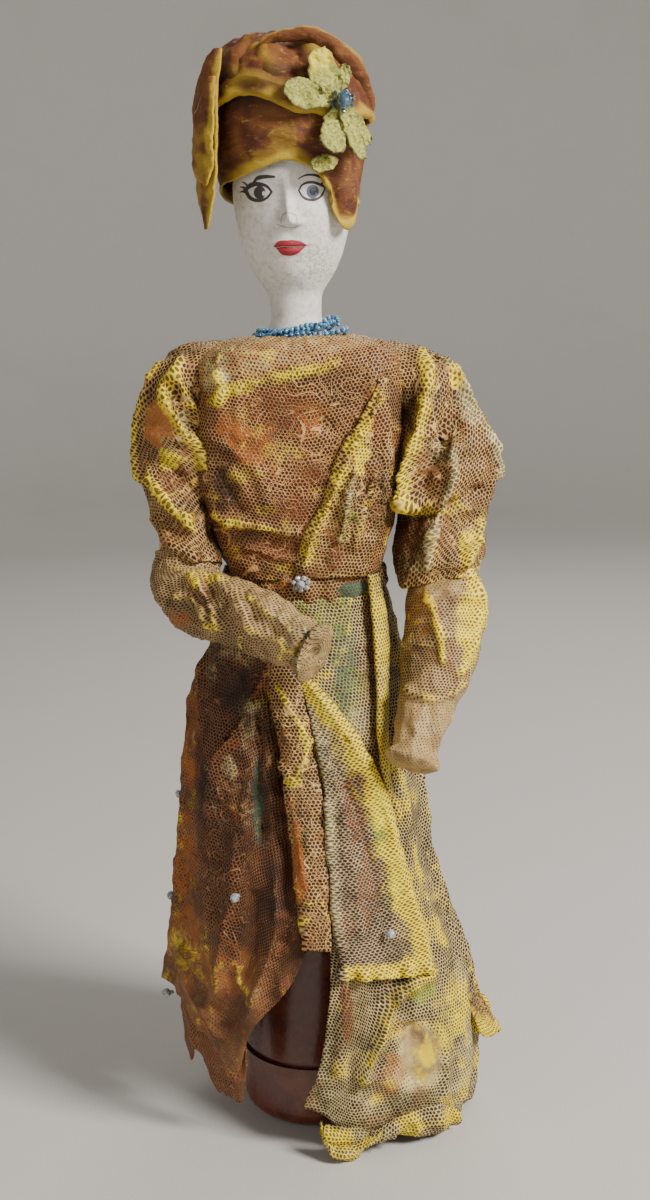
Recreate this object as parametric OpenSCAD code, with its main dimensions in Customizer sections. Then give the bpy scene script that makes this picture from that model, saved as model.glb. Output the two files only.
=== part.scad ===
// Standing rod puppet: a turned wooden head on a central rod, a carved torso on a turned
// trunk and foot, strung wooden arms, and a stiffened net costume with a turban.
// The puppet faces -Y. Its right arm is on the -X side. The origin is the centre of the
// underside of the foot, on the axis of the rod, and +Z is up.

/* [Stand and trunk] */
// Diameter of the turned foot
foot_d = 53; // [48:1:56]
// Height of the foot, up to the shadow groove
foot_h = 24; // [20:1:28]
// Diameter of the central rod
rod_d = 6; // [5:0.5:7]
// Diameter of the trunk where it meets the torso
trunk_top_d = 32; // [28:1:34]

/* [Torso and head] */
// Half of the width across the shoulders of the wooden torso
torso_half_w = 30; // [28:0.5:31]
// Height of the top of the torso
torso_top = 256; // [254:1:258]
// Diameter of the neck at its thinnest
neck_d = 16.6; // [15:0.2:18]
// Diameter of the head at the cheeks
head_d = 36.4; // [34:0.2:37]
// How far the head lifts on its rod
head_lift = 10; // [6:1:12]

/* [Arms] */
// Height of the shoulder cord
shoulder_z = 240; // [238:1:242]
// Diameter of the shoulder cord
cord_d = 2.2; // [1.8:0.1:2.6]
// Diameter of the elbow pegs
peg_d = 3; // [2.4:0.1:3.4]
// Diameter of the wooden arms at the shoulder end
arm_d = 10; // [8:0.5:11]

/* [Costume] */
// Thickness of a stiffened net layer
net_t = 1.4; // [1.2:0.1:1.6]
// Height of the waist, at the underside of the sash
waist_z = 181.5; // [180:0.5:182]
// Height of the sash
sash_h = 8; // [6:0.5:8]

/* [Hidden] */
$fn = 64;
RIGHT = -1;
LEFT = 1;

// Colours
LACQUER = "#4a1610";
BARE_WOOD = "#b98a57";
GESSO = "#ddd8cf";
TURBAN = "#6d3a22";
PETAL = "#b7b56a";
NET_GOLD = "#b08c46";
NET_PALE = "#a99a6a";
NET_RUST = "#6e3119";
TWINE = "#c8b48a";
BEAD_BLUE = "#4f8fc0";
GLASS = "#b9bcc0";

// Running clearance of the rod, the cord and the pegs, on the radius
run = 0.1;
// Gap between cloth and what it covers, and between one layer of the skirt and the next
gap = 0.4;
layer_gap = 1;
foot_groove_h = 2;
rod_seat_z = 8;
rod_top = 325;
cord_y = 5;
// The arms hang just outside the torso
arm_in = torso_half_w + 0.5;
arm_thick = 7;
arm_x = arm_in + arm_thick / 2;
arm_end_d = 8.4;
shoulder_disc_d = 16;
elbow_disc_d = 11;
elbow_disc_t = 4.8;
lap_gap = 0.2;
knot_r = 3.2;
// The carved hand is a blunt cone, placed by shares of the way from the elbow to the tip
hand_start = 0.84;
hand_end = 0.97;
// Elbow and fingertip places
right_elbow = [-39, -15, 181];
left_elbow = [48, -4, 181];
right_tip = [3.6, -44, 168.6];
left_tip = [31.7, -36, 132.4];

// A straight round limb between two points
module limb(a, b, r1, r2) {
    d = b - a;
    translate(a)
        rotate([0, acos(d[2] / norm(d)), atan2(d[1], d[0])])
            cylinder(h = norm(d), r1 = r1, r2 = r2);
}

// A cylinder along X from x0 to x1
module x_cylinder(x0, x1, y, z, r) {
    translate([min(x0, x1), y, z])
        rotate([0, 90, 0])
            cylinder(h = abs(x1 - x0), r = r);
}

module rod_bore(z0, z1) {
    translate([0, 0, z0])
        cylinder(h = z1 - z0, d = rod_d + 2 * run);
}

// ---- Stand and trunk ----

module foot() {
    heel = 5;
    r = foot_d / 2;
    heel_arc = [for (i = [0:6]) [r - heel + heel * sin(i * 15), heel - heel * cos(i * 15)]];
    color(LACQUER)
        difference() {
            rotate_extrude()
                polygon(concat([[0, 0]], heel_arc, [
                    [r, foot_h - foot_groove_h],
                    [r - 1.5, foot_h - foot_groove_h],
                    [r - 1.5, foot_h],
                    [0, foot_h]
                ]));
            rod_bore(rod_seat_z, foot_h + 1);
        }
}

module trunk() {
    color(LACQUER)
        difference() {
            rotate_extrude()
                polygon([
                    [0, foot_h],
                    [foot_d / 2 - 0.5, foot_h],
                    [foot_d / 2 - 1.5, foot_h + 36],
                    [foot_d / 2 - 5, foot_h + 76],
                    [trunk_top_d / 2, foot_h + 126],
                    [trunk_top_d / 2, trunk_top()],
                    [0, trunk_top()]
                ]);
            rod_bore(foot_h - 1, trunk_top() + 1);
        }
}

function trunk_top() = foot_h + 142;

// The torso block: its front outline and its side outline, cut from one piece.
// grow makes the same shape larger all round.
module torso_block(grow = 0) {
    z0 = trunk_top();
    w = torso_half_w + grow;
    intersection() {
        translate([0, 40, 0])
            rotate([90, 0, 0])
                linear_extrude(80)
                    polygon([
                        [-14 - grow, z0], [14 + grow, z0], [15 + grow, z0 + 22],
                        [w, z0 + 54], [w, torso_top - 7 + grow], [17 + grow, torso_top + grow],
                        [-17 - grow, torso_top + grow], [-w, torso_top - 7 + grow],
                        [-w, z0 + 54], [-15 - grow, z0 + 22]
                    ]);
        translate([-40, 0, 0])
            rotate([90, 0, 90])
                linear_extrude(80)
                    polygon([
                        [-11 - grow, z0], [-12 - grow, z0 + 24], [-18 - grow, z0 + 58],
                        [-15 - grow, torso_top - 7], [-13 - grow, torso_top + grow],
                        [13 + grow, torso_top + grow], [15 + grow, torso_top - 20],
                        [12 + grow, z0 + 24], [11 + grow, z0]
                    ]);
    }
}

module torso() {
    color(BARE_WOOD)
        difference() {
            torso_block();
            rod_bore(trunk_top() - 1, torso_top + 1);
            x_cylinder(-torso_half_w - 1, torso_half_w + 1, cord_y, shoulder_z, cord_d / 2 + run);
        }
}

module central_rod() {
    color(BARE_WOOD)
        translate([0, 0, rod_seat_z + 0.2])
            cylinder(h = rod_top - rod_seat_z - 0.2, d = rod_d);
}

// ---- Head, turban and necklace ----

// Outline of the turned head and neck, as [radius, height]
function head_outline() = [
    [neck_d / 2 + 5.2, torso_top + gap],
    [neck_d / 2 + 4.7, 262],
    [neck_d / 2 + 2, 265.4],
    [neck_d / 2 + 0.4, 269],
    [neck_d / 2, 275],
    [neck_d / 2 + 1.3, 280],
    [neck_d / 2 + 4.4, 285],
    [head_d / 2 - 2.8, 291],
    [head_d / 2 - 0.8, 299],
    [head_d / 2, 308],
    [head_d / 2 + 0.4, 320],
    [head_d / 2, 331],
    [head_d / 2 - 3.6, 340],
    [head_d / 2 - 9, 345.5],
    [0, 348]
];

module head() {
    face_y = -head_d / 2;
    nose_tip = [0, face_y - 2.4, 301];
    color(GESSO)
        difference() {
            union() {
                rotate_extrude()
                    polygon(concat([[0, torso_top + gap]], head_outline()));
                limb([0, face_y + 1.5, 310.5], nose_tip, 1, 2.2);
                translate(nose_tip)
                    sphere(r = 2.3);
            }
            rod_bore(torso_top, rod_top + 1);
        }
}

band_in = head_d / 2 + 0.8;
band_out = band_in + 3.6;
wrap_in = band_out + 0.3;
wrap_out = wrap_in + 6;

// Lower band of the turban, arched over the forehead
module turban_band() {
    color(TURBAN)
        difference() {
            rotate_extrude()
                polygon([
                    [band_in, 300], [band_out - 1.4, 300], [band_out, 309],
                    [band_out, 336], [band_in, 336]
                ]);
            translate([-0.5, 0, 297.5])
                rotate([90, 0, 0])
                    cylinder(h = 40, r = 20.5);
        }
}

module turban_wrap() {
    color(TURBAN)
        rotate_extrude()
            polygon([
                [wrap_in, 326], [wrap_out - 2, 323], [wrap_out, 331],
                [wrap_out - 0.4, 341], [wrap_out - 3.4, 349.6], [wrap_in, 349.6]
            ]);
}

module turban_crown() {
    r = wrap_in - 0.3;
    color(TURBAN)
        rotate_extrude()
            polygon([
                [0, 360], [9, 359.4], [17, 356.4], [r, 351], [r, 336.4], [band_in, 336.4],
                [16.5, 341], [10, 347.4], [0, 349]
            ]);
}

// Places its children against the turban at an angle from the front, towards +X
module on_turban(angle, r) {
    rotate([0, 0, angle])
        translate([0, -r, 0])
            rotate([90, 0, 0])
                children();
}

module turban_tail() {
    color(TURBAN)
        on_turban(-68, wrap_out + 0.1)
            linear_extrude(2)
                polygon([[-6, 346], [5, 347], [6, 330], [4, 312], [0.5, 298.6], [-3.5, 312], [-6.5, 330]]);
}

flower_angle = 29;
flower_z = 337;
petal_t = 1.5;

// One petal: its angle round the flower, its length and its width.
// It is narrow at the flower's centre and widest at three fifths of its length.
module petal(turn, length, width) {
    root = 2.6;
    function half_width(s) = width / 2 * pow(sin(180 * pow(s, 1.35)), 0.7) + 0.7 * (1 - s);
    upper = [for (s = [0:0.0625:1]) [root + (length - root) * s, half_width(s)]];
    lower = [for (s = [1:-0.0625:0]) if (s < 1) [root + (length - root) * s, -half_width(s)]];
    color(PETAL)
        on_turban(flower_angle, wrap_out + 0.2)
            translate([0, flower_z, 0])
                rotate([0, 0, turn])
                    linear_extrude(petal_t)
                        polygon(concat(upper, lower));
}

module flower_petal_1() petal(118, 13, 6.4);
module flower_petal_2() petal(172, 14.4, 6.6);
module flower_petal_3() petal(245, 12.6, 7.4);
module flower_petal_4() petal(291, 14.6, 4.4);
module flower_petal_5() petal(334, 13, 6);

module flower_leaf() {
    color(PETAL)
        on_turban(12, band_out + 0.2)
            translate([0, 320.4, 0])
                rotate([0, 0, -20])
                    linear_extrude(petal_t)
                        polygon([[-5, 0.6], [-2, 2], [3, 1.8], [5.4, -0.4], [2, -2], [-3, -1.8]]);
}

module flower_bead() {
    color(BEAD_BLUE)
        on_turban(flower_angle, wrap_out + petal_t + 0.4)
            translate([0, flower_z, 2.4])
                sphere(r = 2.4);
}

// Strands of seed beads on the flare of the neck
module necklace_strand(r, z) {
    color(BEAD_BLUE)
        translate([0, 0, z])
            rotate_extrude()
                translate([r, 0])
                    circle(r = 1);
}

module necklace_strand_1() necklace_strand(12.2, 267);
module necklace_strand_2() necklace_strand(14.3, 265.6);
module necklace_strand_3() necklace_strand(14.9, 263.2);

// ---- Arms ----

// A cord through the torso and both arms, with a round knot at each end
module shoulder_cord() {
    knot_x = arm_in + arm_thick + 0.5 + knot_r;
    knot_arc = [for (a = [140:-20:0]) [knot_r * sin(a), knot_x + knot_r * cos(a)]];
    half = concat([[cord_d / 2, knot_x - knot_r + 0.2]], knot_arc);
    mirrored = [for (i = [len(half) - 1:-1:0]) [half[i][0], -half[i][1]]];
    color(TWINE)
        translate([0, cord_y, shoulder_z])
            rotate([0, 90, 0])
                rotate_extrude()
                    polygon(concat(half, mirrored));
}

// The upper arm's half of the elbow lap is on the outside, and the forearm's on the inside
module upper_arm(side, elbow) {
    lap_x = elbow[0] + side * lap_gap;
    outer_x = lap_x + side * elbow_disc_t;
    color(BARE_WOOD)
        difference() {
            union() {
                x_cylinder(side * arm_in, side * (arm_in + arm_thick), cord_y, shoulder_z,
                           shoulder_disc_d / 2);
                limb([side * arm_x, cord_y, shoulder_z],
                     [(lap_x + outer_x) / 2, elbow[1], elbow[2]], arm_d / 2, arm_end_d / 2);
                x_cylinder(lap_x, outer_x, elbow[1], elbow[2], elbow_disc_d / 2);
            }
            x_cylinder(side * (arm_in - 1), side * (arm_in + arm_thick + 6), cord_y, shoulder_z,
                       cord_d / 2 + run);
            x_cylinder(lap_x, lap_x - side * 8, elbow[1], elbow[2], elbow_disc_d / 2 + 0.8);
            x_cylinder(lap_x - side, outer_x + side, elbow[1], elbow[2], peg_d / 2 + run / 2);
            // Flat faces for the head of the peg, and beside the torso and the knot
            x_cylinder(outer_x + side * 0.1, outer_x + side * 8, elbow[1], elbow[2],
                       elbow_disc_d / 2 - 1);
            x_cylinder(side * (arm_in - 9), side * arm_in, cord_y, shoulder_z, 20);
            x_cylinder(side * (arm_in + arm_thick), side * (arm_in + arm_thick + 8), cord_y,
                       shoulder_z, 7);
        }
}

module forearm(side, elbow, tip) {
    lap_x = elbow[0] - side * lap_gap;
    inner_x = lap_x - side * elbow_disc_t;
    root = [(lap_x + inner_x) / 2, elbow[1], elbow[2]];
    wrist = root + (tip - root) * hand_start;
    hand = root + (tip - root) * hand_end;
    wrist_r = arm_end_d / 2 - 0.8;
    color(BARE_WOOD)
        difference() {
            union() {
                x_cylinder(lap_x, inner_x, elbow[1], elbow[2], elbow_disc_d / 2);
                limb(root, wrist, arm_end_d / 2, wrist_r);
                limb(wrist - (hand - wrist) * 0.2, hand, wrist_r, wrist_r * 0.55);
            }
            translate([lap_x - (side < 0 ? 20 : 0), elbow[1] - 20, elbow[2] - 20])
                cube([20, 40, 40]);
            x_cylinder(lap_x + side, inner_x - side * 6, elbow[1], elbow[2], peg_d / 2 + run);
        }
}

module elbow_peg(side, elbow) {
    reach = elbow_disc_t + lap_gap;
    color(TWINE) {
        x_cylinder(elbow[0] - reach - 0.6, elbow[0] + reach + 0.6, elbow[1], elbow[2], peg_d / 2);
        x_cylinder(elbow[0] + side * (reach + 0.2), elbow[0] + side * (reach + 1.6), elbow[1],
                   elbow[2], peg_d / 2 + 1);
    }
}

module right_upper_arm() upper_arm(RIGHT, right_elbow);
module left_upper_arm() upper_arm(LEFT, left_elbow);
module right_forearm() forearm(RIGHT, right_elbow, right_tip);
module left_forearm() forearm(LEFT, left_elbow, left_tip);
module right_elbow_peg() elbow_peg(RIGHT, right_elbow);
module left_elbow_peg() elbow_peg(LEFT, left_elbow);

// ---- Bodice, sash and sleeves ----

bodice_low = waist_z + sash_h + 0.5;

// The outside of the bodice, and the same shape larger all round
module bodice_block(grow = 0) {
    w = torso_half_w + 0.2 + grow;
    intersection() {
        translate([0, 40, 0])
            rotate([90, 0, 0])
                linear_extrude(80)
                    polygon([
                        [-23, bodice_low], [23, bodice_low], [w, 218], [w, 254], [22, 263],
                        [-22, 263], [-w, 254], [-w, 218]
                    ]);
        translate([-40, 0, 0])
            rotate([90, 0, 90])
                linear_extrude(80)
                    polygon([
                        [-17.5 - grow, bodice_low], [-22 - grow, 222], [-19.6 - grow, 250],
                        [-18.4 - grow, 263], [18.4, 263], [19, 240], [17, bodice_low]
                    ]);
    }
}

module bodice() {
    color(NET_GOLD)
        difference() {
            bodice_block();
            torso_block(gap);
            translate([0, 0, torso_top - 0.2])
                cylinder(h = 20, r = 16.8);
        }
}

// The left front of the bodice, crossed over the right one
module bodice_wrap() {
    color(NET_PALE)
        difference() {
            intersection() {
                bodice_block(net_t + 0.2);
                rotate([90, 0, 0])
                    linear_extrude(40)
                        polygon([
                            [2, bodice_low + 1], [20, bodice_low + 1], [27, 222], [26, 250], [17, 254]
                        ]);
            }
            translate([0, -0.2, 0])
                bodice_block(0);
        }
}

// Half widths of the costume from the waist down: to the side, and to the front
function side_reach(z) = lookup(z, [
    [0, 50], [22, 52], [44, 50], [72, 44.5], [110, 39.5], [145, 36], [165, 31.5], [182, 26.5]
]);
function front_reach(z) = lookup(z, [
    [0, 40], [22, 43], [44, 43], [72, 41.5], [110, 36], [145, 28], [165, 21.5], [182, 18.5]
]);

// A point of the skirt: angle from the front towards +X, height, and distance outwards
function skirt_point(angle, z, out) = [
    (side_reach(z) + out) * sin(angle),
    -(front_reach(z) + out) * cos(angle),
    z
];

module waist_ring(z0, z1, out, thick) {
    translate([0, 0, z0])
        linear_extrude(z1 - z0)
            difference() {
                scale([side_reach(z0) + out, front_reach(z0) + out])
                    circle(r = 1, $fn = 40);
                scale([side_reach(z0) + out - thick, front_reach(z0) + out - thick])
                    circle(r = 1, $fn = 40);
            }
}

module waist_sash() {
    color(NET_GOLD)
        waist_ring(waist_z + 0.2, waist_z + sash_h + 0.2, 1.2, 2.6);
}

module belt_jewel() {
    color(GLASS)
        translate([-1, -front_reach(waist_z) - 2.6, waist_z + 6])
            for (turn = [0:60:300])
                rotate([0, turn, 0])
                    translate([1.7, 0, 0])
                        sphere(r = 0.8);
}

// An upper sleeve is puffed over the shoulder and open at both ends round the arm.
// The space round the elbow stays clear for the lower sleeve.
module upper_sleeve(side, elbow, puff_x, puff_r) {
    lap_x = elbow[0] + side * lap_gap;
    arm_axis_end = [lap_x + side * elbow_disc_t / 2, elbow[1], elbow[2]];
    shoulder = [side * arm_x, cord_y, shoulder_z];
    mid = shoulder + (arm_axis_end - shoulder) * 0.42;
    low = shoulder + (arm_axis_end - shoulder) * 0.8;
    color(NET_GOLD)
        difference() {
            union() {
                hull() {
                    translate([side * puff_x, 1, shoulder_z + 7])
                        sphere(r = puff_r, $fn = 28);
                    translate(mid + [side * 3, -1, 0])
                        sphere(r = puff_r - 2, $fn = 28);
                    translate(low)
                        sphere(r = 8.5, $fn = 24);
                }
            }
            limb(shoulder, arm_axis_end, arm_d / 2 + gap + 0.3, arm_end_d / 2 + gap + 0.3);
            x_cylinder(side * (arm_in - 6), side * (arm_in + arm_thick + gap), cord_y, shoulder_z,
                       shoulder_disc_d / 2 + gap);
            x_cylinder(side * arm_in, side * (arm_in + arm_thick + 8), cord_y, shoulder_z,
                       knot_r + 1);
            // Flat towards the bodice, and a hollow for the elbow
            x_cylinder(side * (arm_in - 30), side * (arm_in + 0.1), cord_y, shoulder_z, 70);
            x_cylinder(elbow[0] - 30, elbow[0] + 30, elbow[1], elbow[2], 13.5);
        }
}

// A lower sleeve is closed at the hand. radii are its sizes near the elbow, midway and at the hand.
module lower_sleeve(side, elbow, tip, radii) {
    root = [elbow[0] - side * (lap_gap + elbow_disc_t / 2), elbow[1], elbow[2]];
    along = tip - root;
    color(NET_PALE)
        difference() {
            hull() {
                translate(root + along * 0.2)
                    sphere(r = radii[0], $fn = 24);
                translate(root + along * 0.55)
                    sphere(r = radii[1], $fn = 24);
                translate(tip)
                    sphere(r = radii[2], $fn = 24);
            }
            limb(root, root + along * (hand_end + 0.01), arm_end_d / 2 + gap + 0.2,
                 arm_end_d / 2 + gap - 0.5);
            x_cylinder(elbow[0] - 30, elbow[0] + 30, elbow[1], elbow[2], 9);
        }
}

module right_upper_sleeve() upper_sleeve(RIGHT, right_elbow, 40, 14);
module left_upper_sleeve() upper_sleeve(LEFT, left_elbow, 46, 15.5);
module right_lower_sleeve() lower_sleeve(RIGHT, right_elbow, right_tip, [8, 8, 7]);
module left_lower_sleeve() lower_sleeve(LEFT, left_elbow, left_tip, [9.4, 7.6, 6]);

// ---- Skirt ----

// A curved sheet of the skirt from angle a0 to a1 and from the bottom edge up to z1.
// The bottom edge's height runs through low, and out is how far the layer stands off.
module skirt_sheet(a0, a1, low, z1, out, columns = 24, rows = 7, ripple = 0) {
    function low_z(s) = lookup(s * (len(low) - 1), [for (i = [0:len(low) - 1]) [i, low[i]]]);
    function row_z(s, t) = low_z(s) + (z1 - low_z(s)) * t;
    function wave(s, t) = ripple * (1 - t) * (1 - cos(s * 1440)) / 2;
    function spot(i, j, extra) = skirt_point(
        a0 + (a1 - a0) * i / columns, row_z(i / columns, j / rows),
        out + extra + wave(i / columns, j / rows));
    side = (columns + 1) * (rows + 1);
    points = [for (extra = [0, net_t]) for (j = [0:rows]) for (i = [0:columns]) spot(i, j, extra)];
    function at(layer, i, j) = layer * side + j * (columns + 1) + i;
    // Both triangles of a four-sided patch, listed clockwise as seen from outside the sheet
    function patch(a, b, c, d) = [[a, b, c], [a, c, d]];
    faces = [
        for (j = [0:rows - 1]) for (i = [0:columns - 1]) each patch(
            at(1, i, j), at(1, i, j + 1), at(1, i + 1, j + 1), at(1, i + 1, j)),
        for (j = [0:rows - 1]) for (i = [0:columns - 1]) each patch(
            at(0, i, j), at(0, i + 1, j), at(0, i + 1, j + 1), at(0, i, j + 1)),
        for (i = [0:columns - 1]) each patch(
            at(1, i, 0), at(1, i + 1, 0), at(0, i + 1, 0), at(0, i, 0)),
        for (i = [0:columns - 1]) each patch(
            at(1, i, rows), at(0, i, rows), at(0, i + 1, rows), at(1, i + 1, rows)),
        for (j = [0:rows - 1]) each patch(
            at(1, 0, j), at(0, 0, j), at(0, 0, j + 1), at(1, 0, j + 1)),
        for (j = [0:rows - 1]) each patch(
            at(1, columns, j), at(1, columns, j + 1), at(0, columns, j + 1), at(0, columns, j))
    ];
    polyhedron(points = points, faces = faces);
}

module overskirt_right() color(NET_RUST) skirt_sheet(-180, -4, [10, 16, 26, 34, 40, 74], waist_z, 0);
module overskirt_left() color(NET_PALE) skirt_sheet(1, 180, [2, 0.5, 0.5, 2, 6, 10], waist_z, 0);
module underskirt() color(NET_RUST) skirt_sheet(-100, -34, [26, 18, 14, 16], 110, -4, 10, 5);
module front_panel() color(NET_PALE) skirt_sheet(-7, 52, [63, 61, 60], 165, net_t + layer_gap, 12, 7);
module side_gather() color(NET_GOLD) skirt_sheet(62, 84, [34, 40], 172, net_t + layer_gap, 6, 7);
module hem_turnup() color(NET_GOLD) skirt_sheet(4, 56, [0.5, 0.5], 10, net_t + layer_gap, 12, 2, 2);
module hem_ruffle() color(NET_GOLD) skirt_sheet(70, 104, [19, 16], 44, net_t + 2.6, 12, 3, 3);

// Glass beads sewn on the skirt, as [angle, height, distance outwards]
bead_r = 1.7;
bead_places = [
    [-90, 112, 1.9], [-32, 88, 1.9], [30, 76, 3.9], [-88, 76, 1.9], [-72, 46, 1.9], [150, 90, 1.9],
    [-140, 70, 1.9]
];

module skirt_beads() {
    color(GLASS)
        for (p = bead_places)
            translate(skirt_point(p[0], p[1], p[2] + bead_r))
                sphere(r = bead_r);
}

foot();
trunk();
torso();
central_rod();
head();
turban_band();
turban_wrap();
turban_crown();
turban_tail();
flower_petal_1();
flower_petal_2();
flower_petal_3();
flower_petal_4();
flower_petal_5();
flower_leaf();
flower_bead();
necklace_strand_1();
necklace_strand_2();
necklace_strand_3();
shoulder_cord();
right_upper_arm();
right_forearm();
right_elbow_peg();
left_upper_arm();
left_forearm();
left_elbow_peg();
bodice();
bodice_wrap();
waist_sash();
belt_jewel();
right_upper_sleeve();
right_lower_sleeve();
left_upper_sleeve();
left_lower_sleeve();
overskirt_right();
overskirt_left();
underskirt();
front_panel();
side_gather();
hem_turnup();
hem_ruffle();
skirt_beads();
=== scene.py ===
"""The looks of a standing rod puppet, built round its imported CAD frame.

Lengths here are millimetres until a mesh is made. +Z is up, the puppet faces -Y and +X is the
viewer's right. "Right" and "left" in names are the puppet's own, so its right arm is at -X.
"""
import math

import bpy
import numpy as np
from mathutils import Matrix, Vector


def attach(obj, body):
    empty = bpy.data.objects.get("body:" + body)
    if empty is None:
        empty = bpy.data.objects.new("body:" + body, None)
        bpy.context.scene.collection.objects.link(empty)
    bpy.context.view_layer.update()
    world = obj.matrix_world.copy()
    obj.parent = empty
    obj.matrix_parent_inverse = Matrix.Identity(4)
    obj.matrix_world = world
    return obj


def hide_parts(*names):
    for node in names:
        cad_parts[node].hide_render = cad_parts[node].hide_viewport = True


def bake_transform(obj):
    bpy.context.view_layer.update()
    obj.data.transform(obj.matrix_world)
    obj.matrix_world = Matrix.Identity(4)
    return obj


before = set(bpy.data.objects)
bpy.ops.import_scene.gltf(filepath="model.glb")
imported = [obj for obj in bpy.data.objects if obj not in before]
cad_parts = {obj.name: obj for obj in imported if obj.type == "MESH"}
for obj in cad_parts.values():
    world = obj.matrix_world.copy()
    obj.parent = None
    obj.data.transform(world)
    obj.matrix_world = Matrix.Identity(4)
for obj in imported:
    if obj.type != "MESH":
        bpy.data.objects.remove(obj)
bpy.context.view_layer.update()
MM = 0.001


# ---- Curves and noise ----

def smooth(low, high, x):
    """0 below low, 1 above high, and smooth between. low may be above high."""
    t = np.clip((x - low) / (high - low), 0, 1)
    return t * t * (3 - 2 * t)


def curve(table, x):
    """The smooth curve through the (x, y) pairs of table at x."""
    xs, ys = np.array(sorted(map(tuple, table)), float).T
    slope = np.gradient(ys, xs)
    x = np.clip(np.asarray(x, float), xs[0], xs[-1])
    i = np.clip(np.searchsorted(xs, x) - 1, 0, len(xs) - 2)
    h = xs[i + 1] - xs[i]
    t = (x - xs[i]) / h
    return ((2 * t**3 - 3 * t**2 + 1) * ys[i] + (t**3 - 2 * t**2 + t) * h * slope[i]
            + (3 * t**2 - 2 * t**3) * ys[i + 1] + (t**3 - t**2) * h * slope[i + 1])


def spline(points, count):
    """count points, evenly spread, on the smooth curve through points."""
    points = np.array(points, float)
    steps = np.r_[0, np.cumsum(np.linalg.norm(np.diff(points, axis=0), axis=1))]
    at = np.linspace(0, steps[-1], count)
    return np.stack([curve(np.c_[steps, points[:, k]], at) for k in range(points.shape[1])], 1)


def lattice(cell):
    """A fixed value from -1 to 1 for each whole-number cell."""
    n = cell[..., 0] * 73856093 ^ cell[..., 1] * 19349663 ^ cell[..., 2] * 83492791
    n = (n ^ (n >> 13)) & 0x7FFFFFFF
    n = (n * (n * 15731 % 65521 + 789221) + 1376312589) & 0x7FFFFFFF
    return n / 1073741823.5 - 1


def lumps(p, size, seed=0):
    """Smooth noise from -1 to 1 at points p, with lumps about size apart."""
    q = np.asarray(p, float) / size + seed * 7.31 + 50
    cell = np.floor(q).astype(np.int64)
    f = q - cell
    f = f * f * (3 - 2 * f)
    total = 0
    for corner in np.ndindex(2, 2, 2):
        weight = np.prod(np.where(np.array(corner) == 1, f, 1 - f), axis=-1)
        total = total + weight * lattice(cell + np.array(corner))
    return total


def creases(p, size, seed=0):
    """Crisp creases: 1 on a crease and falling to -1 between two."""
    return 1 - 2 * np.abs(lumps(p, size, seed)) - 2 * np.abs(lumps(p, size * 0.53, seed + 3)) * 0.6


def shares(rows, cols):
    """How far down and how far across each point of a grid is, from 0 to 1."""
    return np.linspace(0, 1, rows)[:, None], np.linspace(0, 1, cols)[None, :]


def from_line(x, z, line):
    """Distance of points (x, z) from a smooth line, on which side they are, and how far along."""
    line = spline(line, 24)
    best, side, share = np.full(x.shape, 1e9), np.zeros(x.shape), np.zeros(x.shape)
    for i in range(len(line) - 1):
        (ax, az), (bx, bz) = line[i], line[i + 1]
        dx, dz = bx - ax, bz - az
        t = np.clip(((x - ax) * dx + (z - az) * dz) / (dx * dx + dz * dz), 0, 1)
        d = np.hypot(x - ax - t * dx, z - az - t * dz)
        near = d < best
        best = np.where(near, d, best)
        side = np.where(near, np.sign((x - ax) * dz - (z - az) * dx), side)
        share = np.where(near, (i + t) / (len(line) - 1), share)
    return best, side, share


# ---- Cloth pieces ----

PAINTS = ("gold", "rust", "pale", "dark", "teal", "green", "orange", "filled")


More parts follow.
